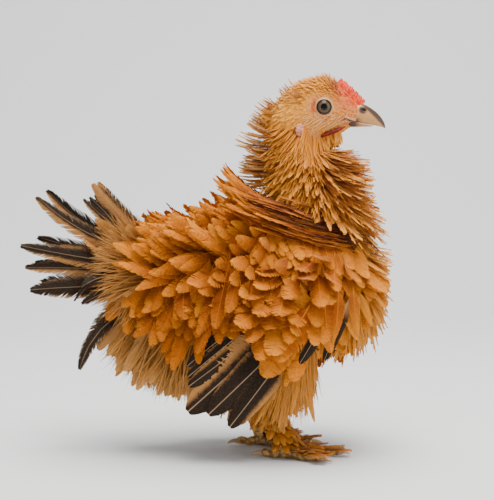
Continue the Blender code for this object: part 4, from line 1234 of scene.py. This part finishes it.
def comb():
    """A blade whose height follows small peaks and whose thickness falls to its edge, roughened by waves."""
    rings, levels = 180, 20
    u, v, face = np.meshgrid(np.linspace(0, 1, rings), np.linspace(0, 1, levels), (-1.0, 1.0), indexing="ij")
    along = COMB_TOP - COMB_FOOT
    out = np.array((along[1], -along[0])) / np.linalg.norm(along)
    peaks = 0.6 * np.abs(np.sin(np.pi * (6 * u + 0.4 * np.sin(5 * u))))
    peaks += 0.4 * np.abs(np.sin(np.pi * (13 * u + 0.3)))
    height = -3.4 + (5.2 + 1.2 * peaks * np.clip(u * (1 - u) * 4, 0, 1) ** 0.4) * v
    half = (2.3 - 0.5 * u) * (1 - v**2.6) + 0.15
    lumps = 0.16 * np.sin(31 * u + 9 * v * face) + 0.14 * np.sin(53 * u - 17 * v)
    x, z = (COMB_FOOT[i] + along[i] * u + out[i] * height for i in (0, 1))
    points = xyz(x, face * np.maximum(half + lumps * (1 - v), 0.1), z)
    loop = np.concatenate((points[:, :, 0], points[:, ::-1, 1]), 1)
    blade = mesh_object("comb_blade", loop, grid_faces(rings, 2 * levels))
    dressed(blade, red_material("comb_skin", (0.56, 0.014, 0.001), (0.86, 0.085, 0.010)), "red_skin", "comb")


def wattles_and_lobes():
    """Ellipsoids roughened by waves, a red fold and a pink lobe on each side."""
    # wattle_skin: red skin darkened nearly to black, as painted shade under the jaw
    red = red_material("wattle_skin", (0.10, 0.003, 0.002), (0.24, 0.010, 0.006))
    pink = red_material("lobe_skin", (0.60, 0.19, 0.13), (0.76, 0.34, 0.24))
    for word, side in SIDES.items():
        fold = ball(f"wattle_fold_{word}", (29.0, 9.0 * side, 198.9), (8.2, 1.9, 1.35), -22,
                    lambda p: 1 + 0.07 * np.sin(9 * p[..., 0]) * np.cos(5 * p[..., 2]))
        dressed(fold, red, "red_skin", f"wattle_{word}")
        lobe = ball(f"lobe_{word}", (LOBE[0], 12.1 * side, LOBE[1]), (2.6, 1.6, 4.3),
                    rough=lambda p: 1 + 0.05 * np.sin(14 * p[..., 2] + 3 * p[..., 0]))
        dressed(lobe, pink, "red_skin", f"earlobe_{word}")


comb()
wattles_and_lobes()


# Bill. Horn over bone in two halves: the upper hooks down over the lower, has a dark ridge and a
# nostril under a small scale on each side; a soft pink fold joins them at the gape.

UPPER_BILL = np.array((
    (38, 0, 209.6, 6.2, 5.6), (43, 0, 209.7, 6.4, 5.1), (48, 0, 209.3, 6.6, 4.6), (52, 0, 208.0, 6.0, 3.9),
    (56, 0, 206.2, 4.9, 3.0), (59, 0, 204.5, 3.4, 2.0), (61, 0, 202.7, 1.9, 1.0), (61.7, 0, 201.4, 0.6, 0.3),
), float)
LOWER_BILL = np.array((
    (38, 0, 204.8, 3.0, 5.4), (43, 0, 204.2, 2.4, 4.6), (48, 0, 203.7, 1.8, 3.8), (52, 0, 203.2, 1.2, 2.8),
    (54.5, 0, 203.0, 0.6, 1.7),
), float)


def mouth_line(x):
    """The height at which the two halves meet."""
    heights = (208.0, 207.0, 205.3, 204.1, 203.3, 202.7, 202.0, 200.8)
    return np.interp(x, (35, 38, 43, 48, 52, 56, 59, 62), heights)


def horn_material():
    """Cream horn, black-brown along the ridge and round the nostril; painted shade at the mouth's corner."""
    shade = Shade("bill_horn", 0.35, Specular_IOR_Level=0.4)
    place = shade.place()
    x, _, z = shade.split(place)
    grain = shade.noise(shade.stretched(place, (1, 1, 3)), 500)
    ridge_line = x * -0.98 + (213.0 + 0.98 * (54.0 - MIDDLE_X)) * MM
    above = z - ridge_line + (grain - 0.5) * 0.0012
    ridge = shade.ease(above, -0.0056, -0.0034) * shade.ease(x, 0.0905, 0.0935)
    nostril = shade.ease(shade.away(47.6, 212.5), 0.0018, 0.0034, 1.0, 0.0)
    # corner: painted shade where the two halves meet at the back of the mouth
    corner = shade.ease(x, 0.0940, 0.0880) * shade.ease(z, 0.2090, 0.2065)
    dark = shade.math("MAXIMUM", shade.math("MAXIMUM", ridge, nostril), corner) * 0.93
    shade.bump(grain, 0.25, 0.0002)
    return shade.colour(shade.mix(dark, shade.mix(grain, (0.40, 0.17, 0.045), (0.64, 0.34, 0.12)),
                                  (0.034, 0.018, 0.014)))


def bill():
    """Two lofts cut off at the mouth line, the upper with a nostril pressed in and a scale raised over it."""
    horn = horn_material()
    rings, sides = 110, 96
    x, y, z = np.moveaxis(section_points(UPPER_BILL, *rings_grid(7, rings, sides), True), -1, 0)
    z = np.maximum(z, mouth_line(x) + 0.12)
    hole = np.clip(1 - np.hypot((x - 47.8) / 1.7, (z - 212.3 + 0.35 * (x - 47.8)) / 0.9), 0, 1) ** 0.6
    scale = np.exp(-((x - 47.6) / 2.4) ** 2 - ((z - 213.8 + 0.35 * (x - 47.6)) / 0.9) ** 2)
    y = y + np.sign(y) * (0.45 * scale - 1.6 * hole) * (np.abs(y) > 1.2)
    upper = mesh_object("bill_upper_horn", xyz(x, y, z), grid_faces(rings, sides))
    dressed(upper, horn, "horn", "bill_upper")
    rings, sides = 70, 72
    x, y, z = np.moveaxis(section_points(LOWER_BILL, *rings_grid(4, rings, sides), True), -1, 0)
    z = np.minimum(z, mouth_line(x) - 0.2)
    lower = mesh_object("bill_lower_horn", xyz(x, y, z), grid_faces(rings, sides))
    dressed(lower, horn, "horn", "bill_lower")


def tube_points(path, radii, sides, flat=None):
    """Rings square to a smooth path; flat holds them above a level."""
    ahead = unit(np.gradient(path, axis=0))
    level = (0.0, 0.0, 1.0) if abs(ahead[len(ahead) // 2, 2]) < 0.85 else (1.0, 0.0, 0.0)
    across = unit(np.cross(ahead, level))
    over = np.cross(across, ahead)
    turn = np.linspace(0, 2 * np.pi, sides, endpoint=False)[None, :, None]
    ring = across[:, None] * np.cos(turn) + over[:, None] * np.sin(turn)
    points = path[:, None] + radii[:, None, None] * ring
    if flat is not None:
        points[..., 2] = np.maximum(points[..., 2], flat)
    return points


def curve_through(keys, count):
    """A smooth path through a few key points, by the same Hermite curve as the lofts."""
    return row_at(np.array(keys, float), np.linspace(0, len(keys) - 1, count))


def gape():
    """Two thin tubes at each corner of the mouth, which swell and close with a sine."""
    flesh = red_material("gape_skin", (0.56, 0.20, 0.10), (0.76, 0.38, 0.20))
    dark = red_material("gape_shadow", (0.07, 0.022, 0.020), (0.16, 0.060, 0.050))
    rings, sides = 30, 20
    swell = np.sin(np.pi * np.linspace(0.16, 0.96, rings)) ** 0.6
    for word, side in SIDES.items():
        keys = (43.0, 4.9 * side, 205.3), (39.0, 6.6 * side, 206.6), (35.2, 8.4 * side, 208.0)
        for name, drop, wide, skin in (("upper", 0.55, 0.75, flesh), ("lower", -0.6, 0.65, dark)):
            points = tube_points(curve_through(keys, rings) + (0, 0, drop), wide * swell, sides)
            dressed(mesh_object(f"gape_{name}_{word}", points, grid_faces(rings, sides)), skin, "red_skin")


bill()
gape()


# Legs and feet. Yellowish scaled shanks and four toes a foot with blunt claws; the breed's feathers
# lie out from the shank and the toes, just clear of the floor.

TOES = ((8, 34), (42, 26), (-34, 27), (172, 15))  # each toe's angle inwards from straight ahead, and length
TOE_RADIUS, TOE_AXIS_Z = 2.9, 2.5


def scale_material():
    """Straw-yellow plates with darker seams."""
    shade = Shade("leg_scales", 0.45, Specular_IOR_Level=0.45)
    place = shade.place()
    seam = shade.cells(place, 420)
    shade.bump(seam, 0.6, 0.0005)
    body = shade.mix(shade.noise(place, 220), (0.42, 0.22, 0.05), (0.66, 0.42, 0.13))
    return shade.colour(shade.mix(shade.ease(seam, 0.42, 0.62), body, (0.26, 0.12, 0.03)))


def tubes_object(name, tubes):
    """One mesh of several tubes, each an array of rings of points."""
    points, faces, start = [], [], 0
    for tube in tubes:
        points.append(tube.reshape(-1, 3))
        faces.append(grid_faces(*tube.shape[:2]) + start)
        start += len(points[-1])
    return mesh_object(name, np.vstack(points), np.vstack(faces))


def leg(word, side):
    """A shank and four toes in one mesh of tubes, ringed by scutes."""
    x, y = ANKLE_X[side], side * LEG_Y
    share, run = np.linspace(0, 1, 90), np.linspace(0, 1, 80)
    shank = curve_through(((x - 10.5, y, 34), (x - 6, y, 20), (x - 1, y, 8), (x, y, 2.5)), len(share))
    thick = (3.5 + 0.9 * (2 * share - 1) ** 2) * (1 + 0.03 * np.abs(np.sin(30 * share)))
    tubes = [tube_points(shank, thick, 32, 0.0)]
    knuckles = 1 + 0.07 * np.cos(2 * np.pi * run * 2.5) + 0.025 * np.abs(np.sin(34 * run))
    ends = np.clip((1 - run) / 0.05, 0.05, 1) ** 0.5
    for angle, length in TOES:
        a = math.radians(-side * angle)
        line = xyz(x + math.cos(a) * length * run, y + math.sin(a) * length * run,
                   TOE_AXIS_Z + 0.5 * np.sin(3 * np.pi * run))
        tubes.append(tube_points(line, TOE_RADIUS * (1 - 0.26 * run) * knuckles * ends, 28, 0.0))
    dressed(tubes_object(f"leg_{word}", tubes), SCALES, "leg_scale", f"shank_{word}", f"foot_{word}")


def claws():
    """Curved tapering horn, one at the end of each toe."""
    tubes, names = [], []
    rings, sides = 30, 20
    radii = 1.55 * (1 - np.linspace(0, 1, rings) ** 1.6 * 0.88)
    for word, side in SIDES.items():
        for i, (angle, length) in enumerate(TOES):
            a = math.radians(-side * angle)
            ahead = np.array((math.cos(a), math.sin(a), 0.0))
            base = np.array((ANKLE_X[side], side * LEG_Y, 2.3)) + ahead * (length - 1.2)
            keys = [base + ahead * on + (0, 0, up) for on, up in ((0, 0), (3, 0.5), (6, -0.3), (7.4, -1.4))]
            tubes.append(tube_points(curve_through(keys, rings), radii, sides, 0.05))
            names.append(f"claw_{word}_{i + 1}")
    shade = Shade("claw_horn", 0.35)
    horn = shade.colour(shade.mix(shade.noise(shade.place(), 600), (0.40, 0.22, 0.12), (0.64, 0.42, 0.26)))
    dressed(tubes_object("claws", tubes), horn, "horn", *names)


def foot_feathers(side):
    """Feathers from the front and outer side of the shank and along its three front toes, fanned outwards."""
    chance = np.random.default_rng(110 + side)
    x, y = ANKLE_X[side], LEG_Y
    share = np.linspace(0, 1, 46)
    turn = np.radians(chance.uniform(-60, 130, len(share)))
    roots = [xyz(x - 9 + 9 * share + 2.4 * np.cos(turn), y + 2.4 * np.sin(turn), 32 - 22 * share)]
    ways = [xyz(np.cos(turn) + 0.25, np.sin(turn), -0.9 + 0.45 * share)]
    for angle, length, most in ((34, 27, 26), (-8, 34, 28), (-42, 26, 14)):
        cos, sin = math.cos(math.radians(angle)), math.sin(math.radians(angle))
        run = np.linspace(0.06, 0.8, most)
        aside = chance.uniform(-1.6, 1.6, most)
        roots.append(xyz(x + cos * length * run - sin * aside, y + sin * length * run + cos * aside, 4.6))
        turn = np.radians(angle + 14 * aside + (8 if angle > 0 else 0) + chance.normal(0, 8, most))
        ways.append(xyz(np.cos(turn), np.sin(turn), 0.1 + chance.uniform(0.05, 0.4, most) * (1 - run)))
    root, along = (np.concatenate(found) * (1, side, 1) for found in (roots, ways))
    spot = (0.1 + 0.8 * np.arange(len(root)) / len(root), 0.5)
    return tuft_table(chance, root, along, (0, 0, 1), spot, length=13.0, width=6.5, curl=-14.0, point=0.3)


SCALES = scale_material()
FOOT = buff_material("foot_feather", (0.22, 0.055, 0.003), (0.46, 0.15, 0.012), (0.60, 0.25, 0.04),
                     (0.34, 0.12, 0.02))
for word, side in SIDES.items():
    leg(word, side)
claws()
for word, side in SIDES.items():
    coat(f"foot_feathers_{word}", FOOT, foot_feathers(side), 20, 112 + side, fray=0.9)


# Stage, camera and lights: a pale floor that runs up into a pale wall, soft light from above with a
# weaker lamp ahead of the bird, and a camera square to its right side, a little above its back.

PHOTO_WIDTH, PHOTO_HEIGHT = 494, 500
ORIGIN_PIXEL = (285, 453)  # where the bird's own origin lies in the photo
MM_A_PIXEL = 0.62
CAMERA_AWAY, CAMERA_RISE = 0.95, math.radians(4)
SENSOR = 24.0


def stage():
    """A floor swept up into a wall, one curve carried sideways."""
    turn = np.linspace(0, np.pi / 2, 24)
    bend = xyz(700 + 400 * np.sin(turn), 400 - 400 * np.cos(turn))
    line = np.vstack(((-1800, 0), bend, (1100, 1900)))
    points = np.concatenate([np.column_stack((np.full(len(line), x), line)) for x in (-2600, 2600)])
    points[:, 2] -= 0.05
    floor = mesh_object("floor", points, grid_faces(2, len(line), False))
    floor.data.materials.append(Shade("backdrop", 0.85).colour((0.76, 0.77, 0.77)))


def aimed(name, data, place, aim):
    """A lamp or a camera at a place, turned to look at another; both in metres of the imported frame."""
    obj = linked(name, data)
    obj.location = place
    obj.rotation_euler = (Vector(aim) - Vector(place)).to_track_quat("-Z", "Y").to_euler()
    return obj


def camera():
    """The picture's middle is the point of the bird's middle plane that lies there in the photo."""
    x = ((PHOTO_WIDTH / 2 - ORIGIN_PIXEL[0]) * MM_A_PIXEL - MIDDLE_X) * MM
    middle = Vector((x, 0, (ORIGIN_PIXEL[1] - PHOTO_HEIGHT / 2) * MM_A_PIXEL * MM))
    view = bpy.data.cameras.new("camera")
    view.sensor_fit = "VERTICAL"
    view.sensor_height = SENSOR
    view.lens = SENSOR * CAMERA_AWAY / (PHOTO_HEIGHT * MM_A_PIXEL * MM)
    place = middle + Vector((0, -math.cos(CAMERA_RISE), math.sin(CAMERA_RISE))) * CAMERA_AWAY
    bpy.context.scene.camera = aimed("camera", view, place, middle)


def lights():
    """Three round lamps and a dim even sky."""
    for name, place, aim, size, power, colour in (
        ("key", (0.1, -0.5, 1.25), (0.0, 0.0, 0.12), 0.8, 17.0, (1.0, 0.98, 0.94)),
        ("top", (0.1, 0.1, 1.4), (0.0, 0.0, 0.1), 1.0, 24.0, (1.0, 0.99, 0.97)),
        ("fill", (0.9, -0.7, 0.35), (0.0, 0.0, 0.12), 1.0, 5.0, (0.97, 0.98, 1.0)),
    ):
        lamp = bpy.data.lights.new(name, "AREA")
        lamp.shape = "DISK"
        lamp.size, lamp.energy, lamp.color = size, power, colour
        aimed(name, lamp, place, aim)
    world = bpy.data.worlds.new("studio")
    world.use_nodes = True
    sky = world.node_tree.nodes["Background"].inputs
    sky["Color"].default_value = (0.9, 0.93, 0.96, 1)
    sky["Strength"].default_value = 0.58
    bpy.context.scene.world = world


stage()
camera()
lights()
